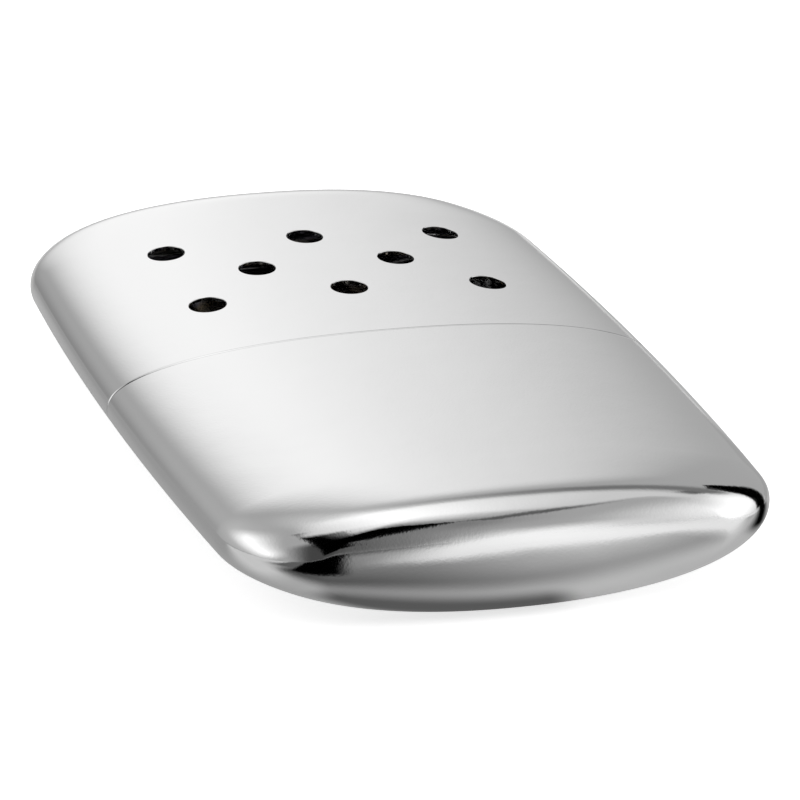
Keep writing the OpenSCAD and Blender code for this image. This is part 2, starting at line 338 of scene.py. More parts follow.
def stadium_points(tree, step, steps, half_w, half_t, arc_share):
    """A flat oval's X and Z at a step round it, and the X and Z of its outward direction. Each
    half is a round end, which takes arc_share of the half's steps, and then a straight."""
    around = add(tree, "ShaderNodeMath", {0: step, 1: steps}, operation="MODULO")
    half_steps = add(tree, "ShaderNodeMath", {0: steps, 1: 0.5}, operation="MULTIPLY")
    side = add(tree, "ShaderNodeMath", {0: around, 1: 0.01}, operation="ADD")
    side = add(tree, "ShaderNodeMath", {0: side, 1: half_steps}, operation="DIVIDE")
    side = add(tree, "ShaderNodeMath", {0: side}, operation="FLOOR")
    share = add(tree, "ShaderNodeMath", {0: around, 1: half_steps}, operation="DIVIDE")
    share = add(tree, "ShaderNodeMath", {0: share, 1: side}, operation="SUBTRACT")
    arc = add(tree, "ShaderNodeMath", {0: share, 1: arc_share}, operation="DIVIDE")
    arc = add(tree, "ShaderNodeMath", {0: arc, 1: 1.0}, operation="MINIMUM")
    angle = add(
        tree, "ShaderNodeMath", {0: arc, 1: math.pi, 2: -math.pi / 2}, operation="MULTIPLY_ADD"
    )
    straight = add(tree, "ShaderNodeMath", {0: share, 1: arc_share}, operation="SUBTRACT")
    straight = add(tree, "ShaderNodeMath", {0: straight, 1: 0.0}, operation="MAXIMUM")
    rest = add(tree, "ShaderNodeMath", {0: 1.0, 1: arc_share}, operation="SUBTRACT")
    straight = add(tree, "ShaderNodeMath", {0: straight, 1: rest}, operation="DIVIDE")
    flip = add(tree, "ShaderNodeMath", {0: side, 1: -2.0, 2: 1.0}, operation="MULTIPLY_ADD")
    back = add(tree, "ShaderNodeMath", {0: straight, 1: -2.0, 2: 1.0}, operation="MULTIPLY_ADD")
    core = add(tree, "ShaderNodeMath", {0: half_w, 1: half_t}, operation="SUBTRACT")
    core = add(tree, "ShaderNodeMath", {0: core, 1: back}, operation="MULTIPLY")
    cosine = add(tree, "ShaderNodeMath", {0: angle}, operation="COSINE")
    sine = add(tree, "ShaderNodeMath", {0: angle}, operation="SINE")
    out_x = add(tree, "ShaderNodeMath", {0: cosine, 1: flip}, operation="MULTIPLY")
    out_z = add(tree, "ShaderNodeMath", {0: sine, 1: flip}, operation="MULTIPLY")
    core = add(tree, "ShaderNodeMath", {0: core, 1: flip}, operation="MULTIPLY")
    x = add(tree, "ShaderNodeMath", {0: half_t, 1: out_x, 2: core}, operation="MULTIPLY_ADD")
    z = add(tree, "ShaderNodeMath", {0: half_t, 1: out_z}, operation="MULTIPLY")
    return x, z, out_x, out_z


def stadium_across(tree, given, step, half_w, half_t):
    """A flat oval section, for the pieces round the neck and for the punches."""
    return stadium_points(tree, step, given["Steps Around"], half_w, half_t, given["Arc Share"])[:2]


stadium_loft = loft_tree("Flat oval loft", stadium_across, [("Arc Share", "Float")])


def punch_mesh(name, stations, upright=False, steps=64):
    """A solid punch of flat oval section through its stations, on Y, or on Z if it is upright."""
    ends = [(0.0, stations[0][1], 0.0)], [(0.0, stations[-1][1], 0.0)]
    round_punch = all(half_w == half_t for half_w, _, half_t in stations)
    punch = grown(
        name,
        stadium_loft,
        rail_mesh(name, ends[0] + stations + ends[1]),
        {"Steps Around": steps, "Arc Share": 1.0 if round_punch else 0.75, "Middle Height": 0.0},
    )
    mesh = outward(punch).data
    bpy.data.objects.remove(punch)
    if upright:
        mesh.transform(Matrix(((0, 0, 1, 0), (1, 0, 0, 0), (0, 1, 0, 0), (0, 0, 0, 1))))
    return mesh


def punches_at(tree, given, places):
    """Copies of the punch at the places that an object's points mark."""
    marks = add(tree, "GeometryNodeObjectInfo", {"Object": given[places]})
    punch = add(tree, "GeometryNodeObjectInfo", {"Object": given["Punch"]})
    copies = {"Points": marks.outputs["Geometry"], "Instance": punch.outputs["Geometry"]}
    punches = add(tree, "GeometryNodeInstanceOnPoints", copies)
    return add(tree, "GeometryNodeRealizeInstances", {"Geometry": punches})


def end_punched(tree, given, punches):
    """Ends a tree in its base mesh with the punches taken out."""
    cut = {"Mesh 1": given["Geometry"], "Mesh 2": punches}
    punched = add(tree, "GeometryNodeMeshBoolean", cut, operation="DIFFERENCE", solver="EXACT")
    punched = add(tree, "GeometryNodeSetShadeSmooth", {"Geometry": punched, "Shade Smooth": True})
    end_tree(tree, punched, given)


def helper_object(name, mesh):
    """An object that only feeds a tree. It is removed once the piece is grown."""
    helper = bpy.data.objects.new(name, mesh)
    scene.collection.objects.link(helper)
    return helper


vents, given = new_tree(
    "Punched vents",
    [
        ("Vent Places", "Object"),
        ("Punch", "Object"),
        ("Half Width", "Float"),
        ("Half Length", "Float"),
        ("Side Draw", "Float"),
        ("Middle Height", "Float"),
    ],
)
punches = punches_at(vents, given, "Vent Places")
# Each end of a punch follows the lens of the section, so that every vent has an even edge
spot = add(vents, "ShaderNodeSeparateXYZ", {0: add(vents, "GeometryNodeInputPosition")})
along = {0: spot.outputs["Y"], 1: given["Half Length"]}
along = add(vents, "ShaderNodeMath", along, operation="DIVIDE")
along = add(vents, "ShaderNodeMath", {0: along, 1: 2.0}, operation="POWER")
draw = add(vents, "ShaderNodeMath", {0: along, 1: given["Side Draw"]}, operation="MULTIPLY")
half = add(vents, "ShaderNodeMath", {0: given["Half Width"], 1: draw}, operation="SUBTRACT")
reach = add(vents, "ShaderNodeMath", {0: spot.outputs["X"], 1: half}, operation="DIVIDE")
reach = add(vents, "ShaderNodeMath", {0: reach}, operation="ABSOLUTE")
reach = add(vents, "ShaderNodeMath", {0: reach, 1: WIDTH_POWER}, operation="POWER")
left = add(vents, "ShaderNodeMath", {0: 1.0, 1: reach}, operation="SUBTRACT")
rise = add(vents, "ShaderNodeMath", {0: left, 1: 1 / THICK_POWER}, operation="POWER")
sink = add(vents, "ShaderNodeMath", {0: rise, 1: 1.0}, operation="SUBTRACT")
sink = add(vents, "ShaderNodeMath", {0: sink, 1: given["Middle Height"]}, operation="MULTIPLY")
side = add(vents, "ShaderNodeMath", {0: spot.outputs["Z"]}, operation="SIGN")
sink = add(vents, "ShaderNodeMath", {0: sink, 1: side}, operation="MULTIPLY")
lift = add(vents, "ShaderNodeMath", {0: sink, 1: given["Middle Height"]}, operation="ADD")
lift = add(vents, "ShaderNodeCombineXYZ", {"Z": lift})
punches = add(vents, "GeometryNodeSetPosition", {"Geometry": punches, "Offset": lift})
end_punched(vents, given, punches)

cap_mouth = SEAM_Y + SEAM_GAP / 2
cap_rail = cup_rail(1, CAP_END, cap_mouth, CAP_LIP_R)
blank = mesh_only(lofted("cap_blank", lens_loft, cap_rail, CUP_STEPS, chrome))
vent_spots = [
    (column * VENT_PITCH * MM, (VENT_Y + row * VENT_ROW) * MM, 0.0)
    for row in (-1, 0, 1)
    for column in ((-0.5, 0.5) if row == 0 else (-1, 0, 1))
]
vent_places = bpy.data.meshes.new("vent places")
vent_places.from_pydata(vent_spots, [], [])
# The punch's height at each end is counted from the sheet's skin at the middle of the width. It
# is straight up to the lip, follows the lip's round and then widens at the lip's last slope.
PUNCH_DEPTH, PUNCH_FLARE, PUNCH_TOP = 1.2, 0.8, 1.5
LIP_ANGLES = (0, 15, 31, 46, 62)
punch_half = [(VENT_R, BODY_T / 2 - PUNCH_DEPTH)]
for angle in LIP_ANGLES:
    radius = VENT_R + VENT_LIP * (1 - math.cos(math.radians(angle)))
    punch_half.append((radius, BODY_T / 2 - VENT_LIP * (1 - math.sin(math.radians(angle)))))
radius, rise = punch_half[-1]
flare_rise = PUNCH_FLARE / math.tan(math.radians(LIP_ANGLES[-1]))
punch_half.append((radius + PUNCH_FLARE, rise + flare_rise))
punch_half.append((radius + PUNCH_FLARE, rise + PUNCH_TOP))
vent_rail = [(r, -h, r) for r, h in punch_half[::-1]] + [(r, h, r) for r, h in punch_half]
vent_punch = punch_mesh("vent punch", vent_rail, upright=True)
helpers = [helper_object("vent places", vent_places), helper_object("vent punch", vent_punch)]
cap = grown(
    "cap_shell_chromed",
    vents,
    blank,
    {
        "Vent Places": helpers[0],
        "Punch": helpers[1],
        "Half Width": BODY_W / 2 * MM,
        "Half Length": BODY_L / 2 * MM,
        "Side Draw": SIDE_DRAW * MM,
        "Middle Height": MID_Z * MM,
        "Material": chrome,
    },
)
for helper in helpers:
    bpy.data.objects.remove(helper)
true_skin(cap, 1, CAP_END, cap_mouth, CAP_LIP_R)
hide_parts("cap_shell")
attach(cap, "cap")

# Bright chrome: a near-mirror, neutral in colour. The plating over buffed brass leaves a
# fine pebbly grain, 0.3 mm across, that roughens the edges of reflections, over a slow
# ripple from the press, and handling has dulled it in patches.
nodes, where = started(chrome)
grain = add(nodes, "ShaderNodeTexNoise", {"Vector": where, "Scale": 3200.0, "Detail": 1.5})
ripple = add(nodes, "ShaderNodeTexNoise", {"Vector": where, "Scale": 150.0, "Detail": 2.0})
patches = add(nodes, "ShaderNodeTexNoise", {"Vector": where, "Scale": 70.0, "Detail": 4.0})
relief = {0: grain, 1: 0.15, 2: ripple}
relief = add(nodes, "ShaderNodeMath", relief, operation="MULTIPLY_ADD")
dull = add(
    nodes,
    "ShaderNodeMapRange",
    {"Value": patches, "From Min": 0.35, "From Max": 0.75, "To Min": 0.05, "To Max": 0.1},
)
uneven = {"Height": relief, "Strength": 1.0, "Distance": 0.000025}
uneven = add(nodes, "ShaderNodeBump", uneven)
surface = add(
    nodes,
    "ShaderNodeBsdfPrincipled",
    {"Base Color": linear("#E4E4E4"), "Metallic": 1.0, "Roughness": dull, "Normal": uneven},
)
add(nodes, "ShaderNodeOutputMaterial", {"Surface": surface})

# ---------------------------------------------------------------------------------
# Shoulder: a pressed nickel-plated plug, soldered into the tank's mouth. Its standing
# rim guides the cap, and the neck comes up through a slot in its flat deck. The same
# loft makes it, over the deck, down the outside and back up the inside.

SLIDE_GAP = 0.12
DECK_Y, DECK_EDGE_R, FOOT_Y = 6.5, 1.5, -6.5
NECK_W, NECK_T, NECK_TOP_Y = 31.0, 6.6, 13.0
SHOULDER_STEPS, RIM_STEPS = 192, 8
CREASE = math.radians(35)

satin = bpy.data.materials.new("Satin_nickel_plate")

shoulder_w = side_half(DECK_Y) - SHEET_WALL - SLIDE_GAP
shoulder_t = MID_Z - SHEET_WALL - SLIDE_GAP
deck_w, deck_t = shoulder_w - DECK_EDGE_R, shoulder_t - DECK_EDGE_R
shoulder_skins = []
for wall in (0.0, SHEET_WALL):
    edge_r = DECK_EDGE_R - wall
    skin = [(deck_w * share, DECK_Y - wall, deck_t * share) for share in (0.0, 0.3, 0.6, 0.8, 0.95)]
    for angle in range(0, 91, 10):
        inset = wall + edge_r * (1 - math.sin(math.radians(angle)))
        y = DECK_Y - wall - edge_r * (1 - math.cos(math.radians(angle)))
        skin.append((shoulder_w - inset, y, shoulder_t - inset))
    for i in range(1, RIM_STEPS + 1):
        y = DECK_Y - DECK_EDGE_R + (FOOT_Y - DECK_Y + DECK_EDGE_R) * i / RIM_STEPS
        skin.append((shoulder_w - wall, y, shoulder_t - wall))
    shoulder_skins.append(skin)
shoulder_rail = shoulder_skins[0] + shoulder_skins[1][::-1]
blank = mesh_only(lofted("shoulder_blank", lens_loft, shoulder_rail, SHOULDER_STEPS, satin))

holes, given = new_tree("Punched holes", [("Hole Places", "Object"), ("Punch", "Object")])
end_punched(holes, given, punches_at(holes, given, "Hole Places"))


def punched_piece(name, sheet_mesh, spots, tool_mesh, material):
    """A sheet with a hole punched at each spot, its creases kept crisp."""
    spot_mesh = bpy.data.meshes.new(name + " places")
    spot_mesh.from_pydata([[v * MM for v in spot] for spot in spots], [], [])
    feeds = [helper_object(name + " places", spot_mesh), helper_object(name + " punch", tool_mesh)]
    sizes = {"Hole Places": feeds[0], "Punch": feeds[1], "Material": material}
    piece = grown(name, holes, sheet_mesh, sizes)
    for feed in feeds:
        bpy.data.objects.remove(feed)
    piece.data.set_sharp_from_angle(angle=CREASE)
    return piece


# Parts that stay together are this far apart
FIT = 0.04
slot_half_w, slot_half_t = NECK_W / 2 + FIT, NECK_T / 2 + FIT
slot_ends = [(slot_half_w, DECK_Y + rise, slot_half_t) for rise in (-1.0, 1.0)]
neck_slot = punch_mesh("neck slot punch", slot_ends)
shoulder = punched_piece("tank_shoulder_satin", blank, [(0, 0, MID_Z)], neck_slot, satin)
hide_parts("tank_shoulder")
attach(shoulder, "tank")

# ---------------------------------------------------------------------------------
# Neck: a flat-oval collar, soldered into the deck, that the fuel goes in by and the
# burner clips on. It is drawn from the same nickel-plated sheet, with its top rolled
# smooth, a flange under the deck and a bead of solder round its foot.

NECK_WALL, NECK_FLANGE, NECK_HALF_WAY = 0.5, 1.0, 3.4
# Steps round the neck and skirt, and the share of them on the round ends
OVAL_STEPS, OVAL_ARC = 128, 0.75


def set_ramp(ramp, *stops):
    """Gives a colour ramp its stops, each a position and a hex colour."""
    elements = ramp.color_ramp.elements
    for _ in stops[2:]:
        elements.new(1.0)
    for element, (position, colour) in zip(elements, stops):
        element.position = position
        element.color = linear(colour)


def closed_stations(outline, half_w, half_t):
    """Stations round a wall's section, given as offsets from a stadium and places in Y."""
    return [(half_w + offset, y, half_t + offset) for offset, y in [*outline, outline[0]]]


# The flange lies under the deck's sheet, and the solder bead (second row) sags onto the deck
neck_outline = [(NECK_FLANGE, DECK_Y - 1.0), (NECK_FLANGE, DECK_Y - 0.5), (0.0, DECK_Y - 0.5)]
neck_outline += [(0.34, DECK_Y - 0.02), (0.31, DECK_Y + 0.08), (0.17, DECK_Y + 0.17)]
neck_outline += [(0.06, DECK_Y + 0.26), (0.0, DECK_Y + 0.36), (0.0, DECK_Y + NECK_HALF_WAY)]
bulge = NECK_WALL / 2
for angle in range(0, 181, 20):
    turn = math.radians(angle)
    neck_outline.append((bulge * (math.cos(turn) - 1), NECK_TOP_Y - bulge * (1 - math.sin(turn))))
neck_outline += [(-NECK_WALL, DECK_Y + NECK_HALF_WAY), (-NECK_WALL, DECK_Y - 1.0)]
neck_rail = closed_stations(neck_outline, NECK_W / 2, NECK_T / 2)
neck = lofted("filler_neck_satin", stadium_loft, neck_rail, OVAL_STEPS, satin, OVAL_ARC)
neck.data.set_sharp_from_angle(angle=CREASE)
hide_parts("filler_neck")
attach(neck, "tank")

# Satin nickel: warmer and softer than chrome, with the fine lines that a brush leaves
# along the width and a slow waver from the press.
nodes, where = started(satin)
# Lines 0.15 mm apart and 20 mm long, as coarse as it takes for them to show
along = add(nodes, "ShaderNodeMapping", {"Vector": where, "Scale": (50.0, 6600.0, 6600.0)})
lines = add(nodes, "ShaderNodeTexNoise", {"Vector": along, "Scale": 1.0, "Detail": 3.0})
waver = add(nodes, "ShaderNodeTexNoise", {"Vector": where, "Scale": 110.0, "Detail": 3.0})
rough = add(
    nodes,
    "ShaderNodeMapRange",
    {"Value": waver, "From Min": 0.3, "From Max": 0.7, "To Min": 0.24, "To Max": 0.36},
)
tone = add(nodes, "ShaderNodeValToRGB", {"Fac": lines})
set_ramp(tone, (0.3, "#CBC9C4"), (0.7, "#E0DEDA"))
ridges = add(nodes, "ShaderNodeBump", {"Height": lines, "Strength": 0.12, "Distance": 0.00005})
ridges = add(
    nodes,
    "ShaderNodeBump",
    {"Height": waver, "Strength": 0.06, "Distance": 0.0003, "Normal": ridges},
)
surface = add(
    nodes,
    "ShaderNodeBsdfPrincipled",
    {"Base Color": tone, "Metallic": 1.0, "Roughness": rough, "Normal": ridges},
)
add(nodes, "ShaderNodeOutputMaterial", {"Surface": surface})

# ---------------------------------------------------------------------------------
# Felt: a block of pressed wool that fills the neck under its free mouth and wicks the
# fuel up. Its edges are worn round and its faces are fuzzy and a little uneven.

FELT_TOP_Y, FELT_L = 8.2, 10.0
# A pad's steps along its side and over a face, its steps round and their share on round ends
PAD_STEPS, PAD_AROUND, PAD_ARC = (14, 8), 160, 0.4

wool = bpy.data.materials.new("Pressed_wool_felt")


def pad_rail(half_w, half_t, low_y, high_y, round_r, crown, side_steps, face_steps):
    """Stations of a pad with rounded edges and crowned ends, from its foot to its top."""
    rail = []
    face_w, face_t = half_w - round_r, half_t - round_r
    for share in (i / face_steps for i in range(face_steps)):
        rail.append((face_w * share, low_y + crown * share**2, face_t * share))
    round_angles = range(0, 91, 15)
    for angle in round_angles:
        inset = round_r * (1 - math.sin(math.radians(angle)))
        y = low_y + crown + (round_r - crown) * (1 - math.cos(math.radians(angle)))
        rail.append((half_w - inset, y, half_t - inset))
    for i in range(1, side_steps):
        y = low_y + round_r + (high_y - low_y - 2 * round_r) * i / side_steps
        rail.append((half_w, y, half_t))
    foot = [(w, low_y + high_y - y, t) for w, y, t in rail[: face_steps + len(round_angles)]]
    return rail + foot[::-1]


def lumpy(piece, depth, lump, seed):
    """Presses a pad's skin in by up to depth, in soft lumps that far apart, all in mm."""
    shape = bmesh.new()
    shape.from_mesh(piece.data)
    shape.normal_update()
    moves = []
    for vert in shape.verts:
        spot = vert.co / (lump * MM) + Vector((seed * 17.3, seed * 5.1, seed * 9.7))
        bump = noise.noise(spot) * 0.7 + noise.noise(spot * 2.7) * 0.3
        moves.append(vert.normal * (-depth * MM * min(1.0, max(0.0, 0.5 - bump))))
    for vert, move in zip(shape.verts, moves):
        vert.co += move
    shape.to_mesh(piece.data)
    shape.free()
    return piece


fibre_sizes = [("Fibre Count Density", "Float"), ("Fibre Length", "Float"), ("Fibre Radius", "Float")]
fuzz, given = new_tree("Loose fibres", [*fibre_sizes, ("Seed", "Int")])
roots = add(
    fuzz,
    "GeometryNodeDistributePointsOnFaces",
    {"Mesh": given["Geometry"], "Density": given["Fibre Count Density"], "Seed": given["Seed"]},
)
bend = add(fuzz, "GeometryNodeCurvePrimitiveBezierSegment", {"Resolution": 4}, mode="POSITION")
half_length = add(fuzz, "ShaderNodeMath", {0: given["Fibre Length"], 1: 0.5}, operation="MULTIPLY")
for socket, x_share, z_share in (
    ("Start", -1.0, 0.0),
    ("Start Handle", -0.5, 0.5),
    ("End Handle", 0.5, 0.5),
    ("End", 1.0, 0.0),
):
    x = add(fuzz, "ShaderNodeMath", {0: half_length, 1: x_share}, operation="MULTIPLY")
    z = add(fuzz, "ShaderNodeMath", {0: half_length, 1: z_share}, operation="MULTIPLY")
    bend_point = add(fuzz, "ShaderNodeCombineXYZ", {"X": x, "Z": z})
    fuzz.links.new(bend_point.outputs[0], bend.inputs[socket])
strand = {"Resolution": 3, "Radius": given["Fibre Radius"]}
strand = add(fuzz, "GeometryNodeCurvePrimitiveCircle", strand, mode="RADIUS")
fibre = {"Curve": bend, "Profile Curve": strand, "Fill Caps": True}
fibre = add(fuzz, "GeometryNodeCurveToMesh", fibre)
spin = add(
    fuzz,
    "FunctionNodeRandomValue",
    {"Min": (0.0, 0.0, 0.0), "Max": (0.0, 0.0, 2 * math.pi), "Seed": given["Seed"]},
    data_type="FLOAT_VECTOR",
)
stand = add(
    fuzz,
    "FunctionNodeRotateRotation",
    {"Rotation": roots.outputs["Rotation"], "Rotate By": spin.outputs["Value"]},
    rotation_space="LOCAL",
)
fibres = add(
    fuzz,
    "GeometryNodeInstanceOnPoints",
    {"Points": roots.outputs["Points"], "Instance": fibre, "Rotation": stand},
)
fibres = add(fuzz, "GeometryNodeRealizeInstances", {"Geometry": fibres})
fibres = add(fuzz, "GeometryNodeSetShadeSmooth", {"Geometry": fibres, "Shade Smooth": True})
together = add(fuzz, "GeometryNodeJoinGeometry")
for part in (given["Geometry"], fibres.outputs[0]):
    fuzz.links.new(part, together.inputs[0])
end_tree(fuzz, together, given)



def fuzzy(name, mesh, per_mm2, length, radius, seed, material):
    """A pad with loose fibres standing off it, their length and radius in mm."""
    sizes = {"Fibre Count Density": per_mm2 * 1e6, "Seed": seed, "Material": material}
    return grown(name, fuzz, mesh, {**sizes, "Fibre Length": length * MM, "Fibre Radius": radius * MM})


felt_w, felt_t = (size / 2 - NECK_WALL - FIT for size in (NECK_W, NECK_T))
felt_rail = pad_rail(felt_w, felt_t, FELT_TOP_Y - FELT_L, FELT_TOP_Y - 0.1, 0.6, 0.15, *PAD_STEPS)
felt = lofted("felt_block", stadium_loft, felt_rail, PAD_AROUND, wool, PAD_ARC)
block = mesh_only(lumpy(felt, 0.16, 1.6, 1))
felt = fuzzy("neck_felt_wool", block, 1.1, 0.7, 0.014, 3, wool)
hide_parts("neck_felt")
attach(felt, "tank")


def soft_material(material, dark, light, rough, fibre_mm, lump_mm, bump_share, sheen):
    """Matted fibres: two tones in strands that cross at random, over softer lumps, with the darker
    tone also as painted shade where the relief is low.
    """
    nodes, where = started(material)
    strands = []
    fine = 1 / (fibre_mm * MM)
    for turn in ((0.4, 0.9, 0.2), (1.3, 0.1, 2.0), (2.2, 1.7, 1.1)):
        lay = {"Vector": where, "Rotation": turn, "Scale": (fine, 0.12 * fine, fine)}
        lay = add(nodes, "ShaderNodeMapping", lay)
        strand = {"Vector": lay, "Scale": 1.0, "Detail": 1.0, "Distortion": 0.6}
        strands.append(add(nodes, "ShaderNodeTexNoise", strand))
    matted = add(nodes, "ShaderNodeMath", {0: strands[0], 1: strands[1]}, operation="MAXIMUM")
    matted = add(nodes, "ShaderNodeMath", {0: matted, 1: strands[2]}, operation="MAXIMUM")
    lumps = {"Vector": where, "Scale": 1 / (lump_mm * MM), "Detail": 3.0}
    lumps = add(nodes, "ShaderNodeTexNoise", lumps)
    mixed = add(nodes, "ShaderNodeMath", {0: lumps, 1: 0.6, 2: matted}, operation="MULTIPLY_ADD")
    # The tone follows the relief and is darker in the low places: painted shade in the hollows, over
    # the fibres' own two tones.
    share = add(nodes, "ShaderNodeMapRange", {"Value": mixed, "From Min": 0.7, "From Max": 1.15})
    tone = add(nodes, "ShaderNodeValToRGB", {"Fac": share})
    set_ramp(tone, (0.0, dark), (1.0, light))
    relief = {"Height": mixed, "Strength": bump_share, "Distance": fibre_mm * MM}
    relief = add(nodes, "ShaderNodeBump", relief)
    look = {"Base Color": tone, "Roughness": rough, "Normal": relief}
    look |= {"Sheen Weight": sheen, "Sheen Roughness": 0.6}
    surface = add(nodes, "ShaderNodeBsdfPrincipled", look)
    add(nodes, "ShaderNodeOutputMaterial", {"Surface": surface})


# Felt: off-white wool, with fibres 0.1 mm thick drawn at about twice their size
soft_material(wool, "#CFC8B8", "#EFEAE0", 0.95, 0.2, 1.8, 0.7, 0.3)

# ---------------------------------------------------------------------------------
# Cotton: three wads of loose cotton wool, packed side by side down the tank to hold
# the fuel. Each is a soft, uneven plug with strands standing off it.

WAD_TOP_Y, COTTON_L, COTTON_GAP, WAD_POWER = -2.8, 40.0, 1.0, 2.5
# Width and thickness of the wads at the sides and of the one between them
SIDE_WAD, MIDDLE_WAD, WAD_STEPS, WAD_AROUND = (17.0, 9.4), (21.0, 11.4), 60, 96

cotton_wool = bpy.data.materials.new("Loose_cotton_wool")
# Cotton wool: white, very soft and matt, in strands and tufts with shaded hollows
soft_material(cotton_wool, "#DAD8D2", "#F6F5F2", 1.0, 0.35, 4.0, 1.0, 0.5)

wad_side_x = (MIDDLE_WAD[0] + SIDE_WAD[0]) / 2 + COTTON_GAP
for side, wad_x, (wad_w, wad_t) in (
    ("left", -wad_side_x, SIDE_WAD),
    ("middle", 0.0, MIDDLE_WAD),
    ("right", wad_side_x, SIDE_WAD),
):
    wad_rail = []
    for i in range(WAD_STEPS + 1):
        along = -math.cos(math.pi * i / WAD_STEPS)
        swell = (1 - abs(along) ** WAD_POWER) ** (1 / WAD_POWER)
        wad_y = WAD_TOP_Y - COTTON_L * (1 + along) / 2
        wad_rail.append((wad_w / 2 * swell, wad_y, wad_t / 2 * swell))
    wad = lofted("wad_" + side, lens_loft, wad_rail, WAD_AROUND, cotton_wool)
    plug = mesh_only(lumpy(wad, 1.1, 4.5, 5 + wad_x))
    wad = fuzzy("cotton_wad_" + side + "_wool", plug, 0.5, 2.0, 0.02, 11, cotton_wool)
    wad.data.transform(Matrix.Translation((wad_x * MM, 0.0, 0.0)))
    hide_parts("cotton_wad_" + side)
    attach(wad, "tank")

# ---------------------------------------------------------------------------------
# Burner skirt: a sleeve that clips over the neck, a seat with a window for the vapour
# and a rim that holds the cage, pressed in one from thin stainless sheet. Two ears
# are spot-welded on to lift it off by.

BURNER_W, BURNER_T, SHEET = 36.0, 9.0, 0.45
SEAT_Y, FLOOR_Y, SLEEVE_FOOT_Y, SEAT_RIM = 13.1, 13.55, 6.9, 1.5
SLEEVE_W, SLEEVE_T = NECK_W + 2 * (0.08 + SHEET), NECK_T + 2 * (0.08 + SHEET)
EAR_L, EAR_WIDTH, EAR_H, EAR_BEND_R, EAR_TIP_R = 2.6, 5.0, 5.0, 0.8, 1.8
# An ear's steps up its leaf and across it
EAR_STEPS, EAR_COLUMNS = 12, 8

stainless = bpy.data.materials.new("Heat_tinted_stainless_sheet")


def corner(centre, radius, start, stop, steps=5):
    """Points round a corner, each a half size's offset and a place in Y, by angle."""
    turns = [math.radians(start + (stop - start) * i / (steps - 1)) for i in range(steps)]
    return [(centre[0] + radius * math.cos(a), centre[1] + radius * math.sin(a)) for a in turns]


# The section's points are (share of the way from sleeve to rim, offset outwards, Y)
sleeve = (SLEEVE_W / 2, SLEEVE_T / 2)
rim = (BURNER_W / 2, BURNER_T / 2)
window = (NECK_W / 2 - NECK_WALL, NECK_T / 2 - NECK_WALL)
skirt_rail = []
for base, outline in (
    (sleeve, [(-SHEET, SLEEVE_FOOT_Y + 0.1), (-SHEET + 0.1, SLEEVE_FOOT_Y), (-0.1, SLEEVE_FOOT_Y)]),
    (sleeve, [(0.0, SLEEVE_FOOT_Y + 0.1), (0.0, SEAT_Y - 1.2), (0.0, SEAT_Y - 0.25)]),
    (sleeve, [(0.08, SEAT_Y - 0.07), (0.25, SEAT_Y)]),
    (rim, corner((-0.4, SEAT_Y + 0.4), 0.4, 270, 360)),
    (rim, [(0.0, SEAT_Y + SEAT_RIM + SHEET - 0.2)]),
    (rim, corner((-SHEET / 2, SEAT_Y + SEAT_RIM + SHEET - SHEET / 2), SHEET / 2, 0, 180, 7)),
    (rim, [(-SHEET, FLOOR_Y)]),
    (window, [(0.12, FLOOR_Y), (0.0, FLOOR_Y - 0.12), (0.0, SEAT_Y + 0.12), (0.12, SEAT_Y)]),
    (sleeve, [(-SHEET, SEAT_Y)]),
):
    skirt_rail += [(base[0] + offset, y, base[1] + offset) for offset, y in outline]
skirt_rail.append(skirt_rail[0])
skirt = lofted("skirt_drawn", stadium_loft, skirt_rail, OVAL_STEPS, stainless, OVAL_ARC)

# An ear's middle line runs out from the rim, bends up and ends in a round tip
ears = bmesh.new()
ears.from_mesh(skirt.data)
ear_line = [(BURNER_W / 2 - 0.3, 0.0), (BURNER_W / 2 + 0.4, 0.0)]
bend_x = BURNER_W / 2 + EAR_L - SHEET / 2 - EAR_BEND_R
ear_line += corner((bend_x, EAR_BEND_R), EAR_BEND_R, 270, 360, 8)
ear_rise = EAR_H - SHEET / 2
for i in range(1, EAR_STEPS + 1):
    rise_y = EAR_BEND_R + (ear_rise - EAR_BEND_R) * i / EAR_STEPS
    ear_line.append((bend_x + EAR_BEND_R, rise_y))
for side in (-1, 1):
    leaf = bmesh.new()
    rows = []
    for line_x, rise_y in ear_line:
        past = min(max(rise_y - (ear_rise - EAR_TIP_R), 0.0), EAR_TIP_R - 0.01)
        half_width = EAR_WIDTH / 2 - EAR_TIP_R + math.sqrt(EAR_TIP_R**2 - past**2)
        x, y = side * line_x * MM, (SEAT_Y + SHEET / 2 + rise_y) * MM
        row = []
        for j in range(EAR_COLUMNS + 1):
            z = MID_Z + half_width * (2 * j / EAR_COLUMNS - 1)
            row.append(leaf.verts.new((x, y, z * MM)))
        rows.append(row)
    for low_row, high_row in zip(rows, rows[1:]):
        for j in range(EAR_COLUMNS):
            leaf.faces.new((low_row[j], low_row[j + 1], high_row[j + 1], high_row[j]))
    leaf_mesh = bpy.data.meshes.new("ear leaf")
    leaf.to_mesh(leaf_mesh)
    leaf.free()
    leaf_object = helper_object("ear leaf", leaf_mesh)
    thick = leaf_object.modifiers.new("Sheet", "SOLIDIFY")
    thick.thickness, thick.offset = SHEET * MM, 0.0
    broken = leaf_object.modifiers.new("Broken edge", "BEVEL")
    broken.width, broken.segments, broken.limit_method = 0.1 * MM, 2, "ANGLE"
    broken.angle_limit = math.radians(50)
    graph = bpy.context.evaluated_depsgraph_get()
    ear = bpy.data.meshes.new_from_object(leaf_object.evaluated_get(graph), depsgraph=graph)
    bpy.data.objects.remove(leaf_object)
    solid = bmesh.new()
    solid.from_mesh(ear)
    bmesh.ops.recalc_face_normals(solid, faces=solid.faces)
    solid.to_mesh(ear)
    solid.free()
    ears.from_mesh(ear)
for face in ears.faces:
    face.smooth = True
    face.material_index = 0
ears.to_mesh(skirt.data)
ears.free()
skirt.name = skirt.data.name = "burner_skirt_stainless"
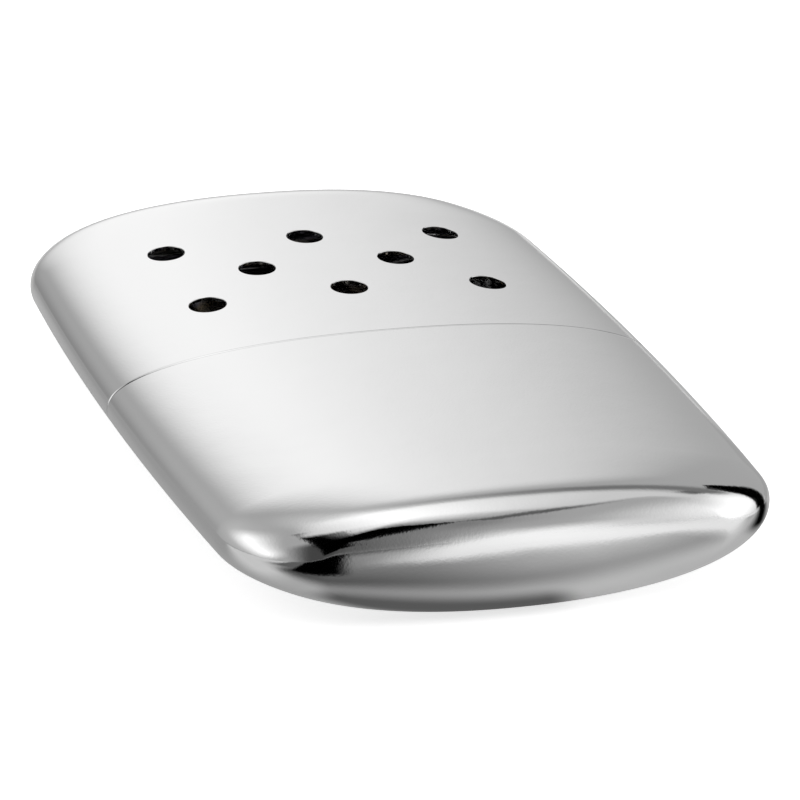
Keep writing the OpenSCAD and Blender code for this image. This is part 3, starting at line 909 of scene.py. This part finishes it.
skirt.data.set_sharp_from_angle(angle=CREASE)
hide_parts("burner_skirt")
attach(skirt, "burner")

# ---------------------------------------------------------------------------------
# Cage: a flat-oval band of the same sheet round the catalyst, with upright slots
# punched through both sides. Its foot stands in the seat's rim.

CAGE_W, CAGE_T, CAGE_H = 35.0, 8.0, 11.0
SLOT_COUNT, SLOT_W, SLOT_PITCH, SLOT_MARGIN = 8, 1.8, 3.1, 1.9
# Steps round the cage, and the share of them on the round ends of cage and lid
CAGE_STEPS, CAGE_ARC = 160, 0.5

cage_top_y = FLOOR_Y + CAGE_H
cage_outline = [(0.0, FLOOR_Y + 0.1)]
cage_outline += [(0.0, FLOOR_Y + CAGE_H * i / 4) for i in (1, 2, 3)]
cage_outline += [(0.0, cage_top_y - 0.1), (-0.1, cage_top_y), (-SHEET + 0.1, cage_top_y)]
cage_outline += [(-SHEET, cage_top_y - 0.1), (-SHEET, FLOOR_Y + 0.1), (-SHEET + 0.1, FLOOR_Y)]
cage_outline += [(-0.1, FLOOR_Y)]
cage_rail = closed_stations(cage_outline, CAGE_W / 2, CAGE_T / 2)
band = lofted("cage_band", stadium_loft, cage_rail, CAGE_STEPS, stainless, CAGE_ARC)
# The slots' edges are broken a little at the cage's outer face, which is CAGE_T / 2 out
slot_edge = [(3.8, 0.0), (3.93, 0.05), (4.25, 0.55), (5.5, 0.55)]
slot_edge = [(-height, flare) for height, flare in slot_edge[::-1]] + slot_edge
slot_reach = CAGE_H / 2 - SLOT_MARGIN
slot_rail = [(slot_reach + flare, height, SLOT_W / 2 + flare) for height, flare in slot_edge]
slot_x = [(i - (SLOT_COUNT - 1) / 2) * SLOT_PITCH for i in range(SLOT_COUNT)]
slot_spots = [(x, FLOOR_Y + CAGE_H / 2, MID_Z) for x in slot_x]
slot_punch = punch_mesh("slot punch", slot_rail, upright=True)
cage = punched_piece("burner_cage_stainless", mesh_only(band), slot_spots, slot_punch, stainless)
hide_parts("burner_cage")
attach(cage, "burner")

# ---------------------------------------------------------------------------------
# Cage top: a shallow drawn lid, spot-welded over the cage, with a row of small vapour
# holes down its middle.

TOP_HOLES, TOP_HOLE_R, TOP_HOLE_PITCH, TOP_RIM, TOP_EDGE_R = 5, 1.0, 4.6, 1.2, 0.7

lid_w, lid_t = CAGE_W / 2 + FIT + SHEET, CAGE_T / 2 + FIT + SHEET
lid_top_y, lid_foot_y = cage_top_y + SHEET, cage_top_y - TOP_RIM
flat_w, flat_t = lid_w - TOP_EDGE_R, lid_t - TOP_EDGE_R
lid_centre = (-TOP_EDGE_R, lid_top_y - TOP_EDGE_R)
lid_wall = corner(lid_centre, TOP_EDGE_R, 90, 0, 7)
lid_wall += corner((-SHEET / 2, lid_foot_y + 0.1), 0.1, 0, -90, 3)
lid_wall += [(-SHEET, lid_foot_y)]
lid_wall += corner(lid_centre, TOP_EDGE_R - SHEET, 0, 90, 4)
face_shares = (0.0, 0.4, 0.75)
lid_rail = [(flat_w * share, lid_top_y, flat_t * share) for share in face_shares]
lid_rail += [(lid_w + offset, y, lid_t + offset) for offset, y in lid_wall]
lid_rail += [(flat_w * share, cage_top_y, flat_t * share) for share in face_shares[::-1]]
lid = lofted("lid_drawn", stadium_loft, lid_rail, OVAL_STEPS, stainless, CAGE_ARC)
# A vapour hole is straight up to its broken edge
hole_edge = [(0.0, cage_top_y - 0.5), (0.0, lid_top_y - 0.15), (0.04, lid_top_y - 0.02)]
hole_edge += [(0.3, lid_top_y + 0.24), (0.3, lid_top_y + 0.94)]
hole_rail = [(TOP_HOLE_R + flare, y, TOP_HOLE_R + flare) for flare, y in hole_edge]
hole_punch = punch_mesh("vapour hole punch", hole_rail)
hole_spots = [((i - (TOP_HOLES - 1) / 2) * TOP_HOLE_PITCH, 0.0, MID_Z) for i in range(TOP_HOLES)]
lid = punched_piece("cage_top_stainless", mesh_only(lid), hole_spots, hole_punch, stainless)
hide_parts("cage_top")
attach(lid, "burner")

# Stainless sheet: grey, finely brushed, and tinted straw to violet-blue where it gets
# hottest, towards the cage's top.
nodes, where = started(stainless)
# Brush lines 0.12 mm apart, as coarse as it takes for them to show
along = add(nodes, "ShaderNodeMapping", {"Vector": where, "Scale": (60.0, 8300.0, 8300.0)})
lines = add(nodes, "ShaderNodeTexNoise", {"Vector": along, "Scale": 1.0, "Detail": 2.0})
clouds = add(nodes, "ShaderNodeTexNoise", {"Vector": where, "Scale": 260.0, "Detail": 4.0})
spot = add(nodes, "ShaderNodeSeparateXYZ", {0: where})
heat = add(
    nodes,
    "ShaderNodeMapRange",
    {"Value": spot.outputs["Y"], "From Min": 0.0145, "From Max": 0.0255},
)
heat = add(nodes, "ShaderNodeMath", {0: clouds, 1: 0.5, 2: heat}, operation="MULTIPLY_ADD")
tint = add(nodes, "ShaderNodeValToRGB", {"Fac": heat})
set_ramp(tint, (0.35, "#C9C8C4"), (0.72, "#BCA88A"), (0.9333, "#8E8A95"))
rough = add(
    nodes,
    "ShaderNodeMapRange",
    {"Value": lines, "From Min": 0.3, "From Max": 0.7, "To Min": 0.2, "To Max": 0.34},
)
ridges = add(nodes, "ShaderNodeBump", {"Height": lines, "Strength": 0.1, "Distance": 0.00005})
surface = add(
    nodes,
    "ShaderNodeBsdfPrincipled",
    {"Base Color": tint, "Metallic": 1.0, "Roughness": rough, "Normal": ridges},
)
add(nodes, "ShaderNodeOutputMaterial", {"Surface": surface})

# ---------------------------------------------------------------------------------
# Gauzes: plain-woven stainless wire, one band inside the cage's wall and one flat
# piece on the seat, that hold the catalyst in. Every wire passes over one, under one.

GAUZE_T, WIRE_PITCH = 0.3, 0.6
WIRE_R = GAUZE_T / 4

wire = bpy.data.materials.new("Woven_stainless_wire")


def woven(tree, given, grid, spot, out, column_count):
    """The wires of a gauze along a grid's rows and columns, waved to either side of it."""
    index = add(tree, "GeometryNodeInputIndex")
    ends = add(tree, "GeometryNodeInputMeshEdgeVertices").outputs
    row = row_of(tree, index, column_count)
    end_rows = [row_of(tree, ends["Vertex Index " + end], column_count) for end in ("1", "2")]
    column = step_of(tree, index, row, column_count)
    crossing = add(tree, "ShaderNodeMath", {0: row, 1: column}, operation="ADD")
    odd = add(tree, "ShaderNodeMath", {0: crossing, 1: 2.0}, operation="FLOORED_MODULO")
    wave = add(tree, "ShaderNodeMath", {0: odd, 1: 2.0, 2: -1.0}, operation="MULTIPLY_ADD")
    same_row = {"A": end_rows[0], "B": end_rows[1], "Epsilon": 0.1}
    same_row = add(tree, "FunctionNodeCompare", same_row, data_type="FLOAT", operation="EQUAL")
    cross_row = add(tree, "FunctionNodeBooleanMath", {0: same_row}, operation="NOT")
    round_wire = {"Resolution": 6, "Radius": given["Wire Radius"]}
    round_wire = add(tree, "GeometryNodeCurvePrimitiveCircle", round_wire, mode="RADIUS")
    gone = add(tree, "GeometryNodeInputNamedAttribute", {"Name": "cut"}, data_type="BOOLEAN")
    families = []
    for drop, sign in ((cross_row, 1.0), (same_row, -1.0)):
        size = add(tree, "ShaderNodeMath", {0: given["Wire Radius"], 1: sign}, operation="MULTIPLY")
        size = add(tree, "ShaderNodeMath", {0: size, 1: wave}, operation="MULTIPLY")
        shift = add(tree, "ShaderNodeVectorMath", {0: out, "Scale": size}, operation="SCALE")
        waved = add(tree, "ShaderNodeVectorMath", {0: spot, 1: shift}, operation="ADD")
        family = add(tree, "GeometryNodeSetPosition", {"Geometry": grid, "Position": waved})
        family = {"Geometry": family, "Selection": drop}
        family = add(tree, "GeometryNodeDeleteGeometry", family, domain="EDGE", mode="EDGE_FACE")
        family = {"Geometry": family, "Selection": gone}
        family = add(tree, "GeometryNodeDeleteGeometry", family, domain="POINT")
        family = add(tree, "GeometryNodeMeshToCurve", {"Mesh": family})
        family = {"Curve": family, "Profile Curve": round_wire, "Fill Caps": True}
        families.append(add(tree, "GeometryNodeCurveToMesh", family))
    both = add(tree, "GeometryNodeJoinGeometry")
    for family in families:
        tree.links.new(family.outputs[0], both.inputs[0])
    smooth = add(tree, "GeometryNodeSetShadeSmooth", {"Geometry": both, "Shade Smooth": True})
    end_tree(tree, smooth, given)


band_tree, given = new_tree(
    "Gauze band",
    [
        ("Rings", "Int"),
        ("Uprights", "Int"),
        ("Half Width", "Float"),
        ("Half Thickness", "Float"),
        ("Arc Share", "Float"),
        ("Foot", "Float"),
        ("Height", "Float"),
        ("Middle Height", "Float"),
        ("Wire Radius", "Float"),
    ],
)
column_count = add(band_tree, "ShaderNodeMath", {0: given["Uprights"], 1: 1.0}, operation="ADD")
grid = {"Vertices X": given["Rings"], "Vertices Y": column_count}
grid = add(band_tree, "GeometryNodeMeshGrid", grid)
index = add(band_tree, "GeometryNodeInputIndex")
row = row_of(band_tree, index, column_count)
step = step_of(band_tree, index, row, column_count)
band_sizes = [given[size] for size in ("Uprights", "Half Width", "Half Thickness", "Arc Share")]
x, z, out_x, out_z = stadium_points(band_tree, step, *band_sizes)
z = add(band_tree, "ShaderNodeMath", {0: z, 1: given["Middle Height"]}, operation="ADD")
gaps = add(band_tree, "ShaderNodeMath", {0: given["Rings"], 1: 1.0}, operation="SUBTRACT")
y = add(band_tree, "ShaderNodeMath", {0: row, 1: gaps}, operation="DIVIDE")
y = {0: y, 1: given["Height"], 2: given["Foot"]}
y = add(band_tree, "ShaderNodeMath", y, operation="MULTIPLY_ADD")
spot = add(band_tree, "ShaderNodeCombineXYZ", {"X": x, "Y": y, "Z": z})
out = add(band_tree, "ShaderNodeCombineXYZ", {"X": out_x, "Z": out_z})
woven(band_tree, given, grid, spot, out, column_count)

gauze_w, gauze_t = CAGE_W / 2 - SHEET - FIT, CAGE_T / 2 - SHEET - FIT
middle_w, middle_t = gauze_w - GAUZE_T / 2, gauze_t - GAUZE_T / 2
arc_l, straight_l = math.pi * middle_t, 2 * (middle_w - middle_t)
band_h = CAGE_H - GAUZE_T - 2 * FIT
band_rings = round((band_h - 2 * WIRE_R) / WIRE_PITCH) + 1
band_uprights = 2 * round((arc_l + straight_l) / WIRE_PITCH)
cage_gauze = grown(
    "cage_gauze_woven",
    band_tree,
    bpy.data.meshes.new("gauze start"),
    {
        "Rings": band_rings,
        "Uprights": band_uprights,
        "Half Width": middle_w * MM,
        "Half Thickness": middle_t * MM,
        "Arc Share": arc_l / (arc_l + straight_l),
        "Foot": (FLOOR_Y + GAUZE_T + FIT + WIRE_R) * MM,
        "Height": (band_h - 2 * WIRE_R) * MM,
        "Middle Height": MID_Z * MM,
        "Wire Radius": WIRE_R * MM,
        "Material": wire,
    },
)
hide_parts("cage_gauze")
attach(cage_gauze, "burner")

seat_tree, given = new_tree(
    "Gauze piece",
    [
        ("Wires Along", "Int"),
        ("Wires Across", "Int"),
        ("Half Width", "Float"),
        ("Half Thickness", "Float"),
        ("Foot", "Float"),
        ("Middle Height", "Float"),
        ("Wire Radius", "Float"),
    ],
)
grid = {"Vertices X": given["Wires Across"], "Vertices Y": given["Wires Along"]}
for side, half_size in (("Size X", "Half Width"), ("Size Y", "Half Thickness")):
    doubled = {0: given[half_size], 1: 2.0}
    grid[side] = add(seat_tree, "ShaderNodeMath", doubled, operation="MULTIPLY")
grid = add(seat_tree, "GeometryNodeMeshGrid", grid)
spot = add(seat_tree, "ShaderNodeSeparateXYZ", {0: add(seat_tree, "GeometryNodeInputPosition")})
y = add(seat_tree, "ShaderNodeMath", {0: given["Foot"], 1: given["Wire Radius"]}, operation="ADD")
y = add(seat_tree, "ShaderNodeMath", {0: y, 1: given["Wire Radius"]}, operation="ADD")
z = {0: spot.outputs["Y"], 1: given["Middle Height"]}
z = add(seat_tree, "ShaderNodeMath", z, operation="ADD")
# The wires are cut back where the piece's ends are round
core = {0: given["Half Width"], 1: given["Half Thickness"]}
core = add(seat_tree, "ShaderNodeMath", core, operation="SUBTRACT")
far = add(seat_tree, "ShaderNodeMath", {0: spot.outputs["X"]}, operation="ABSOLUTE")
far = add(seat_tree, "ShaderNodeMath", {0: far, 1: core}, operation="SUBTRACT")
far = add(seat_tree, "ShaderNodeMath", {0: far, 1: 0.0}, operation="MAXIMUM")
away = add(seat_tree, "ShaderNodeCombineXYZ", {"X": far, "Y": spot.outputs["Y"]})
away = add(seat_tree, "ShaderNodeVectorMath", {0: away}, operation="LENGTH")
limit = {0: given["Half Thickness"], 1: 1.002}
limit = add(seat_tree, "ShaderNodeMath", limit, operation="MULTIPLY")
outside = {"A": away.outputs["Value"], "B": limit}
outside = add(
    seat_tree, "FunctionNodeCompare", outside, data_type="FLOAT", operation="GREATER_THAN"
)
spot = add(seat_tree, "ShaderNodeCombineXYZ", {"X": spot.outputs["X"], "Y": y, "Z": z})
out = add(seat_tree, "ShaderNodeCombineXYZ", {"Y": 1.0})
grid = {"Geometry": grid, "Name": "cut", "Value": outside}
grid = add(
    seat_tree, "GeometryNodeStoreNamedAttribute", grid, data_type="BOOLEAN", domain="POINT"
)
woven(seat_tree, given, grid, spot, out, given["Wires Along"])
seat_gauze = grown(
    "seat_gauze_woven",
    seat_tree,
    bpy.data.meshes.new("gauze start"),
    {
        "Wires Along": round(2 * middle_t / WIRE_PITCH) + 1,
        "Wires Across": round(2 * middle_w / WIRE_PITCH) + 1,
        "Half Width": middle_w * MM,
        "Half Thickness": middle_t * MM,
        "Foot": FLOOR_Y * MM,
        "Middle Height": MID_Z * MM,
        "Wire Radius": WIRE_R * MM,
        "Material": wire,
    },
)
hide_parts("seat_gauze")
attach(seat_gauze, "burner")

# Stainless wire: dull grey-brown from the heat, brighter and smoother in patches
nodes, where = started(wire)
scale = add(nodes, "ShaderNodeTexNoise", {"Vector": where, "Scale": 700.0, "Detail": 3.0})
tint = add(nodes, "ShaderNodeValToRGB", {"Fac": scale})
set_ramp(tint, (0.35, "#77706A"), (0.65, "#B4B0A9"))
rough = add(
    nodes,
    "ShaderNodeMapRange",
    {"Value": scale, "From Min": 0.3, "From Max": 0.7, "To Min": 0.5, "To Max": 0.3},
)
surface = add(
    nodes, "ShaderNodeBsdfPrincipled", {"Base Color": tint, "Metallic": 1.0, "Roughness": rough}
)
add(nodes, "ShaderNodeOutputMaterial", {"Surface": surface})

# ---------------------------------------------------------------------------------
# Catalyst: a pad of glass fibre that carries the platinum, packed loosely in the
# gauze. It is pale grey, matted and uneven.

glass = bpy.data.materials.new("Platinised_glass_fibre")
# Glass fibre: grey-white, with a slight shine along the strands
soft_material(glass, "#8F8B86", "#D5D2CC", 0.7, 0.25, 2.5, 0.9, 0.15)

mat_w, mat_t = gauze_w - GAUZE_T - FIT, gauze_t - GAUZE_T - FIT
mat_foot_y, mat_top_y = FLOOR_Y + GAUZE_T + FIT, cage_top_y - 3 * FIT
mat_rail = pad_rail(mat_w, mat_t, mat_foot_y, mat_top_y, 0.9, 0.2, *PAD_STEPS)
mat = lofted("mat_pad", stadium_loft, mat_rail, PAD_AROUND, glass, PAD_ARC)
pad = mesh_only(lumpy(mat, 0.35, 2.2, 2))
mat = fuzzy("catalyst_mat_fibre", pad, 1.2, 1.2, 0.014, 7, glass)
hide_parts("catalyst_mat")
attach(mat, "burner")

# ---------------------------------------------------------------------------------
# Studio: a matt white table under a long overhead softbox, with softboxes, grey walls
# and black flags round it, which draw the soft bands and black lines in the chrome.

TABLE_HALF = 6.0


def flat_square(name, half, height):
    """A square that lies level over the middle of the table, as an object."""
    mesh = bpy.data.meshes.new(name)
    corners = [(x * half, y * half, height) for x, y in ((-1, -1), (1, -1), (1, 1), (-1, 1))]
    mesh.from_pydata(corners, [], [(0, 1, 2, 3)])
    return helper_object(name, mesh)


table_top = flat_square("table_top", TABLE_HALF, 0.0)

# Paper: matt white. The camera sees it as white, with the object's soft shadow on it. A
# reflection sees it too, out to PAPER_REACH, where the panels round the table take over.
PAPER_REACH, PAPER_FADE = 0.2, 0.14
CAMERA_FILL, MIRROR_FILL = 0.65, 0.12
paper = bpy.data.materials.new("Matt_white_background_paper")
nodes, where = started(paper)
seen_by = add(nodes, "ShaderNodeLightPath").outputs
fill = {0: seen_by["Is Camera Ray"], 1: CAMERA_FILL}
fill = add(nodes, "ShaderNodeMath", fill, operation="MULTIPLY")
mirrored = {0: seen_by["Is Glossy Ray"], 1: seen_by["Is Transmission Ray"]}
mirrored = add(nodes, "ShaderNodeMath", mirrored, operation="ADD")
fill = {0: mirrored, 1: MIRROR_FILL, 2: fill}
fill = add(nodes, "ShaderNodeMath", fill, operation="MULTIPLY_ADD")
sheet = add(
    nodes,
    "ShaderNodeBsdfPrincipled",
    {
        "Base Color": linear("#F2F2F2"),
        "Roughness": 0.9,
        "Specular IOR Level": 0.0,
        "Emission Color": linear("#FFFFFF"),
        "Emission Strength": fill,
    },
)
away = add(nodes, "ShaderNodeVectorMath", {0: where}, operation="LENGTH").outputs["Value"]
past = {"Value": away, "From Min": PAPER_REACH - PAPER_FADE, "From Max": PAPER_REACH}
past = add(nodes, "ShaderNodeMapRange", past)
past = add(nodes, "ShaderNodeMath", {0: past, 1: mirrored}, operation="MULTIPLY")
below = add(nodes, "ShaderNodeNewGeometry").outputs["Backfacing"]
open_share = add(nodes, "ShaderNodeMath", {0: past, 1: below}, operation="MAXIMUM")
see_through = add(nodes, "ShaderNodeBsdfTransparent")
sheet = add(nodes, "ShaderNodeMixShader", {0: open_share, 1: sheet, 2: see_through})
add(nodes, "ShaderNodeOutputMaterial", {"Surface": sheet})
table_top.data.materials.append(paper)


def soft_rectangle(tree, across, along, width, length, soft):
    """Share of a soft-edged rectangle at a place, given across and along from its middle."""
    shares = []
    for offset, size in ((across, width), (along, length)):
        offset = add(tree, "ShaderNodeMath", {0: offset}, operation="ABSOLUTE")
        size = add(tree, "ShaderNodeMath", {0: size, 1: 0.5}, operation="MULTIPLY")
        inner = add(tree, "ShaderNodeMath", {0: size, 1: soft / 2}, operation="SUBTRACT")
        outer = add(tree, "ShaderNodeMath", {0: size, 1: soft / 2}, operation="ADD")
        ends = {"Value": offset, "From Min": inner, "From Max": outer, "To Min": 1.0, "To Max": 0.0}
        shares.append(add(tree, "ShaderNodeMapRange", ends, interpolation_type="SMOOTHSTEP"))
    return add(tree, "ShaderNodeMath", {0: shares[0], 1: shares[1]}, operation="MULTIPLY")


# Cards lie on the table out of the picture, and show only in the chrome. Each is placed by its
# middle in mm, the heading of its length from +Y towards +X in degrees, its width and length,
# how much it widens along that length, its soft edge in mm, and its brightness. All rows but the
# second are rounded from a fit of the reflections to the photo; a few were then changed.
TABLE_CARDS = [
    (-120, 90, 0, 220, 300, -0.3, 60, 0.38),  # grey card to the left
    (47, 10, 3, 60, 130, 0, 12, 0.5),  # grey card to the right
    (-7, -60, 0, 80, 20, 0, 18, 0.43),  # grey card in front, painted soft shadow of the tank's end
    (-90, -50, 30, 120, 70, -0.35, 10, 0.7),  # pale card at the left corner
    (-4, -63, 2, 76, 16, 0, 9, 0.04),  # black card in front, painted contact shadow of the tank's end
    (-45, -113, 190, 40, 110, 1.0, 17, 0.13),  # dark wedge before the left corner
    (29, -133, 168, 52, 135, -0.14, 60, 1.16),  # white card towards the camera
    (-38, -99, 193, 17, 80, 0.4, 3, 0.0),  # black strip on the wedge
    (120, -9, 68, 10, 180, 0.2, 9, 0.0),  # black strip at the right corner
    (125, 60, 42, 30, 200, 0.4, 4, 0.4),  # grey strip to the right
    (-9, -49, -2, 28, 6, 0.3, 5, 0.12),  # shade under the left of the tank's end
]
CARD_HALF, CARD_LIFT = 0.32, 0.00002
table_cards = flat_square("table_cards", CARD_HALF, CARD_LIFT)
for kind in ("camera", "diffuse", "transmission", "shadow", "volume_scatter"):
    setattr(table_cards, "visible_" + kind, False)

# Card: grey, white and black board, each glowing at its own set brightness; the two cards in front and
# the shade under the tank's end are painted shadow
board = bpy.data.materials.new("Glowing_cards_and_painted_shadow")
nodes, where = started(board)
brightness, bare = 0.0, 1.0
for x, y, turn, width, length, widening, soft, level in TABLE_CARDS:
    middle = (x * MM, y * MM, 0.0)
    out = add(nodes, "ShaderNodeVectorMath", {0: where, 1: middle}, operation="SUBTRACT")
    sine, cosine = math.sin(math.radians(turn)), math.cos(math.radians(turn))
    across, along = (
        add(nodes, "ShaderNodeVectorMath", {0: out, 1: way}, operation="DOT_PRODUCT").outputs[1]
        for way in ((cosine, -sine, 0.0), (sine, cosine, 0.0))
    )
    middle_w = (width + widening * length / 2) * MM
    wide = {0: along, 1: widening, 2: middle_w}
    wide = add(nodes, "ShaderNodeMath", wide, operation="MULTIPLY_ADD")
    wide = add(nodes, "ShaderNodeMath", {0: wide, 1: 0.1 * MM}, operation="MAXIMUM")
    share = soft_rectangle(nodes, across, along, wide, length * MM, soft * MM)
    brightness = {"Factor": share, "A": brightness, "B": level}
    brightness = add(nodes, "ShaderNodeMix", brightness, data_type="FLOAT")
    bare = {"Factor": share, "A": bare, "B": 0.0}
    bare = add(nodes, "ShaderNodeMix", bare, data_type="FLOAT")
glow = add(nodes, "ShaderNodeEmission", {"Strength": brightness})
gap = add(nodes, "ShaderNodeBsdfTransparent", {"Color": bare})
card = add(nodes, "ShaderNodeAddShader", {0: glow, 1: gap})
add(nodes, "ShaderNodeOutputMaterial", {"Surface": card})
table_cards.data.materials.append(board)

# Panels stand or hang round the table, the later ones in front of the earlier. Each is placed by
# the heading of its middle from +Y towards +X, its elevation and its turn, in degrees, its width,
# length and soft edge in metres, as if a metre away, and its brightness. These rows and ROOM_GREY
# are all rounded from the same fit, with single values changed.
PANELS = [
    (-70, 20, 35, 1.9, 0.5, 0.8, 0.6),  # grey wall on the left
    (105, 12, -30, 1.5, 0.75, 0.8, 1.5),  # lit wall on the right
    (-88, 27, -56, 0.3, 1.3, 0.65, 1.7),  # left softbox
    (10, 19, 12, 0.45, 0.65, 0.4, 1.15),  # softbox past the cap
    (-12, -8, 55, 0.33, 0.95, 0.43, 0.3),  # grey board under it
    (-160, 20, -12, 0.85, 1.35, 0.55, 0.07),  # dark end of the room, by the camera
    (158, -6, 18, 0.35, 0.3, 0.3, 1.2),  # low reflector under the camera
    (168, 30, 10, 0.2, 0.4, 0.4, 0.2),  # grey stand over it
    (118, 51, 173, 1.5, 0.12, 0.06, 0.12),  # thin dark edge of the overhead softbox
    (76, -14, 24, 0.33, 2.7, 0.05, 0.0),  # black strip on the right
    (46, 49, -27, 0.85, 0.24, 0.18, 0.2),  # grey board on the right, over the strip
    (-152, 49, -28, 0.33, 2.2, 0.05, 0.0),  # black flag on the left
    (-175, 31, 22, 0.34, 0.45, 0.05, 0.0),  # black flag by the camera
    (90, 78, 33, 0.8, 1.3, 0.25, 0.73),  # overhead softbox
    (80, 86, -80, 0.2, 1.5, 0.75, 1.7),  # its bright tube
]
ROOM_GREY, ROOM_FILL = 0.45, 0.4
world = bpy.data.worlds.new("Softbox studio")
scene.world = world
world.use_nodes = True
sky = world.node_tree
sky.nodes.clear()
toward = add(sky, "ShaderNodeTexCoord").outputs["Generated"]
brightness = ROOM_GREY
for heading, height, turn, width, length, soft, level in PANELS:
    heading, height, turn = (math.radians(angle) for angle in (heading, height, turn))
    level_way = Vector((math.cos(heading), -math.sin(heading), 0.0))
    flat_way = Vector((math.sin(heading), math.cos(heading), 0.0))
    middle = flat_way * math.cos(height) + Vector((0.0, 0.0, math.sin(height)))
    upright_way = level_way.cross(middle)
    side_way = level_way * math.cos(turn) + upright_way * math.sin(turn)
    end_way = upright_way * math.cos(turn) - level_way * math.sin(turn)
    ahead, across, along = (
        add(sky, "ShaderNodeVectorMath", {0: toward, 1: way}, operation="DOT_PRODUCT").outputs[1]
        for way in (middle, side_way, end_way)
    )
    near = add(sky, "ShaderNodeMath", {0: ahead, 1: 0.001}, operation="MAXIMUM")
    across = add(sky, "ShaderNodeMath", {0: across, 1: near}, operation="DIVIDE")
    along = add(sky, "ShaderNodeMath", {0: along, 1: near}, operation="DIVIDE")
    in_front = add(sky, "ShaderNodeMath", {0: ahead, 1: 0.0}, operation="GREATER_THAN")
    share = soft_rectangle(sky, across, along, width, length, soft)
    share = add(sky, "ShaderNodeMath", {0: share, 1: in_front}, operation="MULTIPLY")
    brightness = {"Factor": share, "A": brightness, "B": level}
    brightness = add(sky, "ShaderNodeMix", brightness, data_type="FLOAT")
# The camera sees white behind the table, and matt surfaces get the light of the whole room
seen_by = add(sky, "ShaderNodeLightPath").outputs
room = {0: seen_by["Is Diffuse Ray"], 1: ROOM_FILL, 2: 1.0}
room = add(sky, "ShaderNodeMath", room, operation="MULTIPLY_ADD")
brightness = add(sky, "ShaderNodeMath", {0: brightness, 1: room}, operation="MULTIPLY")
brightness = {"Factor": seen_by["Is Camera Ray"], "A": brightness, "B": 1.0}
brightness = add(sky, "ShaderNodeMix", brightness, data_type="FLOAT")
light = add(sky, "ShaderNodeBackground", {"Color": linear("#FFFFFF"), "Strength": brightness})
add(sky, "ShaderNodeOutputWorld", {"Surface": light})

# The camera looks down on the tank's end from its left, rolled a little, from far off. Its
# numbers are rounded from a fit of the object's outline to the photo.
camera_data = bpy.data.cameras.new("camera")
camera = bpy.data.objects.new("camera", camera_data)
scene.collection.objects.link(camera)
scene.camera = camera
camera_data.sensor_width = 36.0
camera_data.lens = 225.1
camera_data.clip_start, camera_data.clip_end = 0.05, 50.0
heading, dip, roll = (math.radians(angle) for angle in (20.2, 22.6, 3.05))
distance = 575.7 * MM
target = np.array((0.4, -4.9, MID_Z)) * MM
level_way = np.array((math.sin(heading), math.cos(heading), 0.0))
forward = level_way * math.cos(dip) - np.array((0.0, 0.0, math.sin(dip)))
right = np.array((math.cos(heading), -math.sin(heading), 0.0))
above = np.cross(right, forward)
rolled_right = right * math.cos(roll) + above * math.sin(roll)
rolled_above = above * math.cos(roll) - right * math.sin(roll)
place_of_camera = target - forward * distance
axes = np.stack([rolled_right, rolled_above, -forward, place_of_camera], axis=1)
camera.matrix_world = Matrix([*axes.tolist(), [0.0, 0.0, 0.0, 1.0]])

scene.view_settings.view_transform = "Standard"
